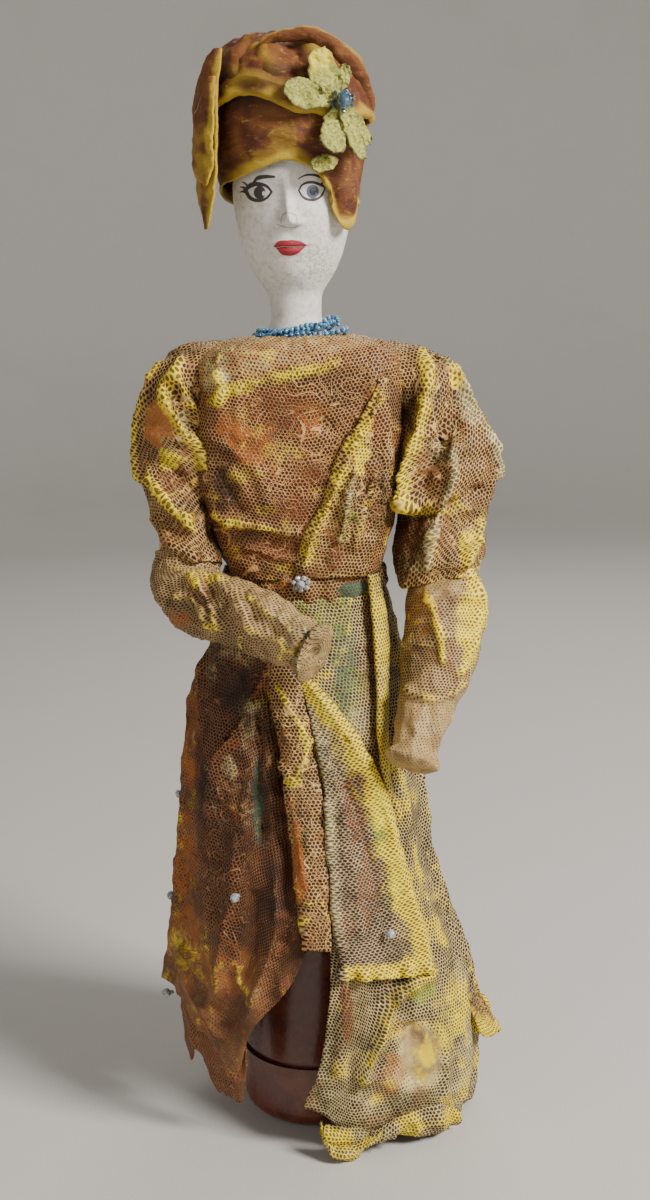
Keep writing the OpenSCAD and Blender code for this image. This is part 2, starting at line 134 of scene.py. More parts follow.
class Grid:
    """A piece of cloth as rows of points, with the paint on each point.

    closed means that the last point of a row joins its first.
    """

    def __init__(self, points, closed=False):
        self.p = np.array(points, float)
        self.closed = closed
        self.paint = {name: np.zeros(self.p.shape[:2]) for name in PAINTS}
        self.lay_flat()

    def lay_flat(self):
        """Coordinates in millimetres on the flat cloth, for its net."""
        p = np.concatenate([self.p, self.p[:, :1]], 1) if self.closed else self.p
        across = np.linalg.norm(np.diff(p, axis=1), axis=2)
        across = np.concatenate([np.zeros((len(p), 1)), np.cumsum(across, 1)], 1)
        across -= across[:, p.shape[1] // 2][:, None]
        down = np.linalg.norm(np.diff(p, axis=0), axis=2)
        down = np.concatenate([np.zeros((1, p.shape[1])), np.cumsum(down, 0)], 0)
        down = 0.5 * down + 0.5 * down.mean(1)[:, None]
        self.flat = np.stack([across, down], 2)

    def normals(self):
        p = self.p
        if self.closed:
            along = np.roll(p, -1, 1) - np.roll(p, 1, 1)
        else:
            along = np.gradient(p, axis=1)
        n = np.cross(np.gradient(p, axis=0), along)
        return n / np.maximum(np.linalg.norm(n, axis=2, keepdims=True), 1e-9)

    def push(self, amount):
        """Moves each point outwards by amount."""
        self.p += self.normals() * np.asarray(amount)[..., None]
        return self

    def front(self):
        """1 where the piece faces the viewer and 0 where it faces away."""
        return smooth(0.15, -0.25, self.normals()[..., 1])

    def brush(self, name, amount):
        self.paint[name] = np.clip(self.paint[name] + amount, 0, 1)
        return self

    def blotch(self, name, amount, size, seed, low, high, mask=1):
        """Paint where noise of this size passes from low to high."""
        return self.brush(name, amount * smooth(low, high, lumps(self.p, size, seed)) * mask)

    def fold(self, line, height, width, kind="ridge", paint=None, spread=1.6, amount=0.9, mask=1):
        """A fold along a line of (x, z) points on the front, and paint along it.

        kind is ridge, or step for cloth whose edge overlaps what is on the line's right.
        """
        x, z = self.p[..., 0], self.p[..., 2]
        d, side, share = from_line(x, z, line)
        ends = smooth(0, 0.1, share) * smooth(1, 0.88, share) * self.front() * mask
        if kind == "step":
            rise = np.where(side > 0, np.exp(-d / width), smooth(0.9, 0, d))
        else:
            rise = np.clip(1 - d / width, 0, 1) ** 1.6
        self.push(height * rise * ends)
        if paint:
            patchy = 0.55 + 0.45 * lumps(self.p, 4.5, 11)
            near = np.clip(1.25 - d / spread, 0, 1)
            if kind == "step":
                near = near * smooth(-1, 0.6, side)
            self.brush(paint, near * ends * amount * patchy)
        return self

    def crest(self, axis, line, height, width=12, paint=None, spread=8):
        """A sharp fold on a tube. axis gives (z, x, y) points of its middle, line (z, degrees).

        height is in millimetres, or a table of (z, millimetres).
        """
        axis = np.array(axis, float)
        x, y, z = np.moveaxis(self.p, 2, 0)
        across, back = x - curve(axis[:, [0, 1]], z), y - curve(axis[:, [0, 2]], z)
        turn = np.degrees(np.arctan2(across, -back))
        low, top = min(line)[0], max(line)[0]
        ends = smooth(low - 1, low + 3, z) * smooth(top + 3, top - 3, z)
        off = np.abs((turn - curve(line, z) + 180) % 360 - 180)
        height = curve(height, z) if hasattr(height, "__len__") else height
        self.push(height * np.exp(-off / width) * ends)
        if paint:
            patchy = 0.7 + 0.5 * lumps(self.p, 5, 12)
            self.brush(paint, np.clip(1.3 - off / spread, 0, 1) * ends * patchy)
        return self

    def spot(self, centre, radius, paint, amount=0.9, mask=1):
        """A soft patch of paint round an (x, z) point on the front."""
        x, z = self.p[..., 0], self.p[..., 2]
        rx, rz = radius if hasattr(radius, "__len__") else (radius, radius)
        d = np.hypot((x - centre[0]) / rx, (z - centre[1]) / rz)
        ragged = 0.28 * lumps(self.p, 3.2, 5)
        return self.brush(paint, smooth(1.1, 0.6, d + ragged) * amount * self.front() * mask)

    def crumple(self, size, depth, seed=0, mask=1):
        """Creases all over, as in stiffened cloth."""
        return self.push(depth * 0.5 * creases(self.p, size, seed) * mask)

    def solid_surface(self):
        """Points, faces and flat coordinates of a closed grid with its two ends capped."""
        rows, cols = self.p.shape[:2]
        faces, uv = [], []
        for j in range(rows - 1):
            for i in range(cols):
                ring = [(j, i), (j + 1, i), (j + 1, i + 1), (j, i + 1)]
                faces.append([a * cols + b % cols for a, b in ring])
                uv.extend(self.flat[a, b] for a, b in ring)
        for j, order in ((0, range(cols)), (rows - 1, range(cols)[::-1])):
            faces.append([j * cols + i for i in order])
            uv.extend(self.flat[j, i] for i in order)
        return self.p.reshape(-1, 3), faces, uv

    def ridge_gold(self, size, seed, amount=0.6):
        """Gold rubbed on the crests of the creases."""
        crest = smooth(0.35, 0.9, creases(self.p, size, seed))
        return self.brush("gold", crest * amount * smooth(-0.3, 0.5, lumps(self.p, 14, seed + 1)))


def mesh_object(name, verts, faces, uvs=None, paints=None):
    """A mesh object from millimetre points. uvs and paints are given for each point."""
    mesh = bpy.data.meshes.new(name)
    mesh.from_pydata((np.asarray(verts) * MM).tolist(), [], [list(map(int, f)) for f in faces])
    mesh.validate()
    mesh.polygons.foreach_set("use_smooth", [True] * len(mesh.polygons))
    if uvs is not None:
        layer = mesh.uv_layers.new(name="flat")
        layer.data.foreach_set("uv", np.asarray(uvs, np.float32).ravel())
    for key, values in (paints or {}).items():
        layer = mesh.color_attributes.new(key, "FLOAT_COLOR", "POINT")
        layer.data.foreach_set("color", np.asarray(values, np.float32).ravel())
    mesh.update()
    obj = bpy.data.objects.new(name, mesh)
    bpy.context.scene.collection.objects.link(obj)
    return obj


def cloth(name, grid, thickness=0.5):
    """A closed sheet of the given thickness whose outside is the grid."""
    rows, cols = grid.p.shape[:2]
    back = grid.p - grid.normals() * thickness
    verts = np.concatenate([grid.p.reshape(-1, 3), back.reshape(-1, 3)])
    size = rows * cols
    wrap = cols if grid.closed else cols - 1
    faces, uv = [], []

    def add(quad, spots):
        faces.append(quad)
        uv.extend(grid.flat[j, i] for j, i in spots)

    def point(layer, j, i):
        return layer * size + j * cols + i % cols

    for j in range(rows - 1):
        for i in range(wrap):
            ring = [(j, i), (j + 1, i), (j + 1, i + 1), (j, i + 1)]
            add([point(0, a, b) for a, b in ring], ring)
            ring = ring[::-1]
            add([point(1, a, b) for a, b in ring], ring)
    for j, flip in ((0, False), (rows - 1, True)):
        for i in range(wrap):
            a, b = (i + 1, i) if flip else (i, i + 1)
            add([point(0, j, a), point(0, j, b), point(1, j, b), point(1, j, a)],
                [(j, a), (j, b), (j, b), (j, a)])
    if not grid.closed:
        for i, flip in ((0, True), (cols - 1, False)):
            for j in range(rows - 1):
                a, b = (j + 1, j) if flip else (j, j + 1)
                add([point(0, a, i), point(0, b, i), point(1, b, i), point(1, a, i)],
                    [(a, i), (b, i), (b, i), (a, i)])
    tints = {}
    for key, names in (("paint_a", PAINTS[:4]), ("paint_b", PAINTS[4:])):
        values = np.stack([grid.paint[n].ravel() for n in names], 1)
        tints[key] = np.concatenate([values, values])
    return mesh_object(name, verts, faces, uv, tints)


def tube(path, radii, rows, cols, side=(1, 0, 0), phase=0.0):
    """A closed grid round a path. radii are (across, front to back) at each path point."""
    spine = spline(path, rows)
    steps = np.r_[0, np.cumsum(np.linalg.norm(np.diff(np.array(path, float), axis=0), axis=1))]
    at = np.linspace(0, steps[-1], rows)
    a = curve(np.c_[steps, [r[0] for r in radii]], at)
    b = curve(np.c_[steps, [r[1] for r in radii]], at)
    tangent = np.gradient(spine, axis=0)
    tangent /= np.linalg.norm(tangent, axis=1, keepdims=True)
    side = np.array(side, float) - tangent * (tangent @ np.array(side, float))[:, None]
    side /= np.linalg.norm(side, axis=1, keepdims=True)
    back = np.cross(side, tangent)
    turn = np.linspace(0, 2 * math.pi, cols, endpoint=False) - math.pi + phase
    p = (spine[:, None] + side[:, None] * (a[:, None] * np.sin(turn))[..., None]
         - back[:, None] * (b[:, None] * np.cos(turn))[..., None])
    return Grid(p, closed=True)


def between(left, right, top, bottom, rows, cols, depth, rolls=(0, 0)):
    """A grid whose edges are the curves left and right of (z, x), from height top to bottom.

    bottom may be a pair of heights, at the left and at the right edge. depth gives y at (x, z).
    rolls says how far the left and the right edge turn back under, in millimetres.
    """
    v, u = shares(rows, cols)
    low = bottom if hasattr(bottom, "__len__") else (bottom, bottom)
    z = top + (low[0] + (low[1] - low[0]) * u - top) * v
    x = curve(left, z) * (1 - u) + curve(right, z) * u
    y = depth(x, z)
    for roll, into in ((rolls[0], smooth(0.12, 0, u)), (rolls[1], smooth(0.88, 1, u))):
        y = y + roll * into**2
    x = x + rolls[0] * 0.5 * smooth(0.06, 0, u) - rolls[1] * 0.5 * smooth(0.94, 1, u)
    return Grid(np.stack([x, y, z], 2))


# ---- Materials ----

class Shader:
    """Short calls that add nodes to a new material."""

    def __init__(self, name):
        self.material = bpy.data.materials.new(name)
        self.material.use_nodes = True
        self.tree = self.material.node_tree
        self.surface = self.tree.nodes["Principled BSDF"].inputs

    def put(self, socket, value):
        if isinstance(value, bpy.types.NodeSocket):
            self.tree.links.new(value, socket)
        elif hasattr(value, "__len__") and len(value) == 3 and len(socket.default_value) == 4:
            socket.default_value = (*value, 1)
        else:
            socket.default_value = value

    def node(self, kind, *values, out=0, **settings):
        made = self.tree.nodes.new("ShaderNode" + kind)
        for key, value in settings.items():
            setattr(made, key, value)
        for socket, value in zip(made.inputs, values):
            if value is not None:
                self.put(socket, value)
        return made.outputs[out]

    def math(self, operation, a, b=None, clamp=False):
        return self.node("Math", a, b, operation=operation, use_clamp=clamp)

    def vector(self, operation, a, b=None, out=0):
        return self.node("VectorMath", a, b, operation=operation, out=out)

    def mix(self, share, a, b, blend="MIX"):
        made = self.tree.nodes.new("ShaderNodeMix")
        made.data_type, made.blend_type = "RGBA", blend
        for index, value in ((0, share), (6, a), (7, b)):
            self.put(made.inputs[index], value)
        return made.outputs[2]

    def step(self, value, low, high, to_low=0.0, to_high=1.0):
        return self.node("MapRange", value, low, high, to_low, to_high,
                         interpolation_type="SMOOTHSTEP")

    def noise(self, vector, scale, detail=3.0, roughness=0.55, distortion=0.0, out=0):
        made = self.tree.nodes.new("ShaderNodeTexNoise")
        self.put(made.inputs["Vector"], vector)
        made.inputs["Scale"].default_value = scale
        made.inputs["Detail"].default_value = detail
        made.inputs["Roughness"].default_value = roughness
        made.inputs["Distortion"].default_value = distortion
        return made.outputs[out]

    def place(self):
        """The point on the object, in millimetres."""
        return self.scaled(self.node("TexCoord", out=3), 1000)

    def scaled(self, vector, factor):
        made = self.tree.nodes.new("ShaderNodeVectorMath")
        made.operation = "SCALE"
        self.put(made.inputs[0], vector)
        made.inputs["Scale"].default_value = factor
        return made.outputs[0]

    def paint(self, name):
        """The painted amount of one of PAINTS."""
        index = PAINTS.index(name)
        made = self.tree.nodes.new("ShaderNodeAttribute")
        made.attribute_name = "paint_a" if index < 4 else "paint_b"
        if index % 4 == 3:
            return made.outputs["Alpha"]
        split = self.node("SeparateColor", made.outputs["Color"], out=index % 4)
        return split

    def bump(self, height, distance, strength=1.0):
        made = self.tree.nodes.new("ShaderNodeBump")
        made.inputs["Strength"].default_value = strength
        made.inputs["Distance"].default_value = distance * MM
        self.put(made.inputs["Height"], height)
        self.tree.links.new(made.outputs[0], self.surface["Normal"])


# dark is used both for grime and as painted shade in fold valleys, hollows and where pieces meet
PAINT_COLOURS = {
    "rust": (0.15, 0.035, 0.008), "pale": (0.64, 0.56, 0.27), "orange": (0.36, 0.10, 0.010),
    "green": (0.36, 0.46, 0.030), "teal": (0.045, 0.10, 0.065), "gold": (0.92, 0.66, 0.012),
    "dark": (0.016, 0.006, 0.003),
}


def net_material(name, thread, under, pitch=1.25, stretch=(1.0, 1.0), lace=0.0, wear=0.5,
                 hole=0.36):
    """Stiffened net over painted cloth. stretch pulls the holes, lace adds raised cords.
    under, seen through the holes, is the backing cloth's own dark rust, darkened further as painted
    shade.
    """
    s = Shader(name)
    place = s.place()
    flat = s.node("UVMap", uv_map="flat")
    wobble = s.vector("SUBTRACT", s.noise(place, 0.22, 2, out=1), (0.5, 0.5, 0.5))
    flat = s.vector("ADD", flat, s.scaled(wobble, 1.6))
    cell = (pitch * stretch[0], pitch * stretch[1] * math.sqrt(3), 1)
    shape = (1, math.sqrt(3), 0)
    nearest = []
    for shift in ((0, 0, 0), (0.5, 0.5, 0)):
        within = s.vector("FRACTION", s.vector("ADD", s.vector("DIVIDE", flat, cell), shift))
        offset = s.vector("MULTIPLY", s.vector("SUBTRACT", within, (0.5, 0.5, 0)), shape)
        nearest.append(s.vector("LENGTH", offset, out=1))
    to_hole = s.math("MINIMUM", *nearest)
    stains = s.noise(place, 0.075, 4, 0.62, 0.6)
    blots = s.noise(s.vector("ADD", place, (31, 7, 12)), 0.16, 4, 0.65, 0.8)
    grain = s.noise(place, 1.9, 3, 0.6)
    dabs = s.noise(s.vector("ADD", place, (5, 19, 3)), 0.42, 5, 0.68, 0.5)
    clog = s.math("ADD", s.math("MULTIPLY", s.paint("filled"), 0.34),
                  s.math("MULTIPLY", s.step(blots, 0.54, 0.74), 0.12 + 0.2 * wear))
    radius = s.math("SUBTRACT", s.math("SUBTRACT", hole, clog),
                    s.math("MULTIPLY", s.paint("gold"), 0.07))
    gap = s.math("SUBTRACT", to_hole, radius)
    open_hole = s.step(gap, 0.09, -0.035)

    colour = s.mix(s.step(stains, 0.42, 0.66), thread, [c * 0.52 for c in thread])
    colour = s.mix(s.math("MULTIPLY", s.step(blots, 0.52, 0.68), wear), colour,
                   PAINT_COLOURS["rust"])
    # The backing cloth in the holes: its own rust colour, darkened as painted shade
    backing_in_shade = s.mix(s.step(stains, 0.4, 0.6), under, [c * 0.45 for c in under])
    for key, strength, soak in (("rust", 0.7, 0.4), ("orange", 0.85, 0.7), ("teal", 0.85, 0.8),
                                ("green", 0.8, 0.3), ("pale", 0.8, 0.2), ("gold", 0.95, 0.12)):
        amount = s.math("ADD", s.paint(key), s.math("MULTIPLY", s.math("SUBTRACT", dabs, 0.5), 1.7))
        amount = s.math("MULTIPLY", s.step(amount, 0.1, 0.8), s.step(s.paint(key), 0.02, 0.2))
        worn = s.math("MULTIPLY", amount, s.step(grain, 0.22, 0.46, 0.6, 1.0))
        colour = s.mix(s.math("MULTIPLY", worn, strength), colour, PAINT_COLOURS[key])
        backing_in_shade = s.mix(s.math("MULTIPLY", amount, soak), backing_in_shade, PAINT_COLOURS[key])
    height = s.math("SUBTRACT", 1.0, open_hole)
    if lace:
        swirl = s.noise(s.vector("MULTIPLY", flat, (0.9, 1, 1)), 0.085, 0.6, 0.5, 1.2)
        cords = s.math("ABSOLUTE", s.math("SINE", s.math("MULTIPLY", swirl, 34.0)))
        where = s.step(s.noise(flat, 0.035, 1), 0.5 - 0.12 * lace, 0.58 - 0.12 * lace)
        cords = s.math("MULTIPLY", s.step(cords, 0.34, 0.08), where)
        colour = s.mix(s.math("MULTIPLY", cords, 0.55), colour,
                       [min(1, 1.5 * c + 0.04) for c in thread])
        open_hole = s.math("MULTIPLY", open_hole, s.math("SUBTRACT", 1.0, cords))
        height = s.math("ADD", height, s.math("MULTIPLY", cords, 1.3))
    # The holes show the backing cloth, darker there as painted shade
    colour = s.mix(open_hole, colour, backing_in_shade)
    # dark paint: grime in places, painted shade in fold valleys, hollows and where pieces meet
    colour = s.mix(s.math("MULTIPLY", s.paint("dark"), 0.85), colour, PAINT_COLOURS["dark"])
    colour = s.mix(s.step(grain, 0.25, 0.75, 0.0, 0.5), colour, (0.9, 0.82, 0.66), "SOFT_LIGHT")
    s.put(s.surface["Base Color"], colour)
    shine = s.math("ADD", s.step(blots, 0.35, 0.7, 0.46, 0.66),
                   s.math("MULTIPLY", s.paint("gold"), -0.1))
    s.put(s.surface["Roughness"], s.math("ADD", shine, s.math("MULTIPLY", open_hole, 0.25)))
    s.surface["Coat Weight"].default_value = 0.03
    s.surface["Coat Roughness"].default_value = 0.4
    s.surface["Specular IOR Level"].default_value = 0.35
    s.bump(s.math("ADD", height, s.math("MULTIPLY", grain, 0.6)), 0.32, 0.9)
    return s.material


def mottled(name, colours, scale, rough=(0.4, 0.6), bump=0.2, grain=2.0, coat=0.0,
            stretch=(1, 1, 1)):
    """Paint in several tones, rubbed and uneven. colours go from the most to the least common."""
    s = Shader(name)
    place = s.vector("MULTIPLY", s.place(), stretch)
    colour = colours[0]
    for i, tone in enumerate(colours[1:]):
        moved = s.vector("ADD", place, (11 * i, 5, 3 * i))
        field = s.noise(moved, scale * (1 + 0.6 * i), 5, 0.62, 0.4)
        colour = s.mix(s.step(field, 0.5, 0.66), colour, tone)
    fine = s.noise(place, grain, 4, 0.6)
    colour = s.mix(s.step(fine, 0.3, 0.7, 0, 0.4), colour, [c * 0.6 for c in colours[0]])
    s.put(s.surface["Base Color"], colour)
    s.put(s.surface["Roughness"], s.step(fine, 0.3, 0.7, *rough))
    s.surface["Coat Weight"].default_value = coat
    s.surface["Coat Roughness"].default_value = 0.15
    s.bump(fine, bump, 0.7)
    return s.material


def finish_piece(obj, material, body, slot_name, *nodes):
    """Gives a piece its material, what it stands for, and the body that it rides on. slot_name is
    not used.
    """
    obj.data.materials.clear()
    obj.data.materials.append(material)
    if nodes:
        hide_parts(*nodes)
    if body:
        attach(obj, body)
    return obj


# ---- Camera, light and floor ----

def add_light(name, place, target, size, power, colour):
    data = bpy.data.lights.new(name, "AREA")
    data.size, data.energy, data.color = size, power, colour
    light = bpy.data.objects.new(name, data)
    light.location = place
    aim = (np.array(target) - np.array(place)).tolist()
    light.rotation_euler = Vector(aim).to_track_quat("-Z", "Y").to_euler()
    bpy.context.scene.collection.objects.link(light)


LENS = 47.7
CAMERA_PLACE = (0.0066, -0.522, 0.278)
LOOK_DOWN, CAMERA_ROLL = 10.85, -1.7
WORLD_STRENGTH = 0.24


def make_stage():
    data = bpy.data.cameras.new("camera")
    data.lens = LENS
    camera = bpy.data.objects.new("camera", data)
    tilt, roll = math.radians(90 - LOOK_DOWN), math.radians(CAMERA_ROLL)
    camera.matrix_world = (Matrix.Translation(CAMERA_PLACE)
                           @ Matrix.Rotation(tilt, 4, "X") @ Matrix.Rotation(roll, 4, "Z"))
    bpy.context.scene.collection.objects.link(camera)
    bpy.context.scene.camera = camera

    # The floor curves up into a wall all round. Radius and height in millimetres
    profile = [(900, 0), (1300, 0), (1500, 25), (1700, 120), (1830, 300), (1900, 600), (1900, 2600)]
    sides = 96
    turns = [2 * math.pi * k / sides for k in range(sides)]
    verts = [(r * math.cos(t), r * math.sin(t), z) for r, z in profile for t in turns]
    faces = [(i * sides + k, (i + 1) * sides + k, (i + 1) * sides + (k + 1) % sides,
              i * sides + (k + 1) % sides) for i in range(len(profile) - 1) for k in range(sides)]
    faces.append(tuple(range(sides)))
    floor = mesh_object("floor", verts, faces)
    floor.data.materials.append(mottled("floor_paper", [(0.62, 0.6, 0.57), (0.6, 0.58, 0.55)],
                                        0.004, (0.7, 0.8), 0.02))

    add_light("key", (0.85, -0.6, 0.85), (0, 0, 0.18), 0.36, 29, (1.0, 0.97, 0.92))
    add_light("fill", (-0.9, -0.6, 0.45), (0, 0, 0.18), 0.7, 1.9, (1.0, 0.95, 0.9))
    add_light("rim", (0.2, 0.9, 0.8), (0, 0, 0.25), 0.6, 3.4, (1.0, 0.96, 0.9))
    world = bpy.data.worlds.new("studio")
    world.use_nodes = True
    world.node_tree.nodes["Background"].inputs[0].default_value = (0.95, 0.96, 1.0, 1)
    world.node_tree.nodes["Background"].inputs[1].default_value = WORLD_STRENGTH
    bpy.context.scene.world = world


make_stage()

BEIGE = (0.50, 0.30, 0.10)
PALE = (0.52, 0.40, 0.18)
# The under colours are the backing cloth's rust, darkened as painted shade in the net's holes
UNDER_IN_SHADE = (0.045, 0.011, 0.004)
NET_RUST = net_material("net_rust", (0.22, 0.095, 0.030), (0.020, 0.003, 0.002), lace=0.9, wear=0.9)
NET_GOLD = net_material("net_gold", BEIGE, UNDER_IN_SHADE, lace=0.7, wear=0.7)
NET_CHEST = net_material("net_chest", (0.46, 0.23, 0.075), (0.034, 0.007, 0.003), lace=0.9,
                         wear=0.6)
NET_PALE = net_material("net_pale", PALE, (0.030, 0.012, 0.005), wear=0.3)
NET_LADDER = net_material("net_ladder", (0.44, 0.34, 0.19), (0.055, 0.020, 0.010),
                          stretch=(1.35, 0.8), wear=0.3)
NET_CUFF = net_material("net_cuff", (0.42, 0.28, 0.12), (0.075, 0.030, 0.010), pitch=1.15, wear=0.3,
                        hole=0.30)


# ---- Skirt ----

SIDE_RIGHT = [(0, 49), (20, 50), (44, 51), (74, 46.5), (110, 42), (145, 38), (165, 32), (182, 26.5)]
SIDE_LEFT = [(0, 51), (15, 52.5), (30, 53), (50, 50.5), (71, 43.6), (100, 38), (118, 36.5),
             (145, 34), (165, 30.5), (182, 26.5)]
FRONT = [(0, 40), (22, 43), (44, 43.5), (72, 41.5), (110, 36), (145, 28), (165, 21.5), (182, 19)]
WAIST = 182


def skirt_corner(angle, z):
    """How far the left panel's front corner stands out near the floor."""
    return 5 * np.exp(-((angle - 50) / 22) ** 2) * smooth(70, 25, z)


def skirt_place(angle, z, out):
    """Points of the skirt at an angle from the front towards +X, in degrees."""
    a = np.radians(angle)
    side = np.where(np.sin(a) < 0, curve(SIDE_RIGHT, z), curve(SIDE_LEFT, z)) + out
    corner = skirt_corner(angle, z)
    ahead = curve(FRONT, z) + out + corner
    return np.stack([(side + corner * 0.5) * np.sin(a), -ahead * np.cos(a), z + 0 * a], 2)


def skirt_depth(out):
    """The skirt's front at (x, z), standing off by out, as a function."""
    def y(x, z):
        side = np.where(x < 0, curve(SIDE_RIGHT, z), curve(SIDE_LEFT, z)) + out
        share = np.clip(x / side, -0.97, 0.97)
        angle = np.degrees(np.arcsin(share))
        return -(curve(FRONT, z) + out + skirt_corner(angle, z)) * np.sqrt(1 - share**2)
    return y


def pleats(grid, angles, depth, width, seed):
    """Upright folds that run down from the waist and deepen towards the hem."""
    x, y, z = grid.p[..., 0], grid.p[..., 1], grid.p[..., 2]
    angle = np.degrees(np.arctan2(x, -y))
    grow = smooth(WAIST + 6, 20, z)
    total = 0
    for k, at in enumerate(angles):
        centre = at + 5 * lumps(np.stack([z * 0 + k * 30, z, z * 0], 2), 70, seed)
        d = np.abs((angle - centre + 180) % 360 - 180)
        total = total + np.clip(1 - d / width, 0, 1) ** 1.5 * (0.75 + 0.25 * math.sin(k * 2.4))
    grid.push(depth * (0.25 + 0.75 * grow) * total)
    grid.brush("gold", smooth(0.75, 1.0, total) * 0.4 * smooth(-0.2, 0.6, lumps(grid.p, 16, seed)))
    return grid


def skirt_grid(a0, a1, top, low, out, cols, rows, ragged=0.8, seed=0):
    """A sheet of the skirt. a0 may be a curve of (z, angle). low is a curve of (angle, z)."""
    v, u = shares(rows, cols)
    end = a1
    start = min(a for _, a in a0) if hasattr(a0, "__len__") else a0
    bottom = curve(low, start + (end - start) * u)
    jag = lumps(np.stack([u * 90, 0 * u, 0 * u + seed], 2), 2.3, seed)
    z = top + (bottom + ragged * jag - top) * v
    first = curve(a0, z) if hasattr(a0, "__len__") else a0
    return Grid(skirt_place(first + (end - first) * u, z, out))


def make_skirt_right():
    low = [(-186, 8), (-170, 10), (-150, 18), (-130, 28), (-110, 40), (-90, 49), (-75, 49),
           (-62, 46), (-54, 41), (-46, 37), (-38, 31), (-31, 29), (-26, 41), (-19, 50), (-13, 56),
           (-8, 62), (-4, 70), (-1, 74)]
    g = skirt_grid(-186, -1, WAIST, low, 0.4, 240, 130, 1.2, 2)
    pleats(g, [-176, -158, -137, -119, -100, -82], 5.0, 9, 3)
    g.fold([(-34, 106), (-33, 118), (-30, 131), (-22, 143), (-14, 156), (-9, 168)], 3.2, 6,
           "step", "orange", 1.6, 0.5)
    g.fold([(-31, 124), (-29, 118), (-25, 116), (-21, 118), (-19.5, 126)], 0.7, 1.2, "ridge",
           "pale", 1.0, 0.5)
    g.fold([(-14, 158), (-9.5, 131), (-8.6, 114), (-6, 88)], -3.4, 5)
    g.fold([(-16, 150), (-17, 128), (-16.5, 104)], -2.4, 4)
    g.fold([(-34, 168), (-40, 140), (-42, 110), (-47, 76), (-50, 60)], 2.0, 5, "ridge",
           "orange", 5, 0.5)
    g.fold([(-24, 110), (-26, 90), (-31, 66), (-32, 48)], 2.4, 5)
    g.fold([(-44, 66), (-43, 54), (-37, 46), (-30, 38)], 3.0, 4.5, "ridge", "orange", 2, 0.5)
    g.fold([(-12, 96), (-12, 80), (-18, 60), (-24, 44)], 2.0, 4, "ridge", "pale", 1.4, 0.35)
    g.fold([(-20, 92), (-19, 76), (-24, 58)], -1.8, 4)
    g.crumple(13, 1.8, 4).crumple(6, 0.7, 8)
    x, z = g.p[..., 0], g.p[..., 2]
    g.brush("rust", 0.25 * smooth(175, 90, z) * g.front())
    g.brush("filled", 0.7 * smooth(80, 60, z + 5 * lumps(g.p, 9, 3)) * smooth(-12, -22, x))
    g.brush("filled", 0.4 * smooth(-34, -40, x + 3 * lumps(g.p, 8, 5)) * smooth(165, 140, z))
    g.blotch("gold", 0.2, 7, 15, 0.0, 0.7, smooth(-33, -40, x))
    g.blotch("gold", 0.2, 9, 16, 0.1, 0.7, smooth(80, 60, z))
    g.spot((-39, 132), (4, 20), "orange", 0.35).spot((-42, 90), (5, 24), "orange", 0.25)
    g.spot((-17, 118), (2.2, 15), "teal", 0.7).spot((-20, 144), (3.4, 10), "pale", 0.25)
    g.spot((-26, 126), (5, 9), "pale", 0.2).spot((-26, 124), (6, 14), "orange", 0.25)
    # The dark spots on the next line are painted shade beside the overlapping step fold and in the
    # valley left of it
    g.spot((-24, 152), (7, 12), "dark", 0.5).spot((-36, 118), (3, 16), "dark", 0.6)
    g.spot((-28, 64), (9, 14), "orange", 0.3).spot((-40, 66), (6, 14), "orange", 0.3)
    # The dark spots on the next line are painted shade in fold valleys beside the centre strip
    g.spot((-14, 108), (3, 20), "dark", 0.4).spot((-20, 78), (5, 10), "dark", 0.3)
    g.blotch("dark", 0.5, 9, 43, 0.1, 0.6)
    g.blotch("pale", 0.3, 7, 44, 0.2, 0.6, smooth(90, 130, z))
    g.ridge_gold(13, 4, 0.35)
    return g


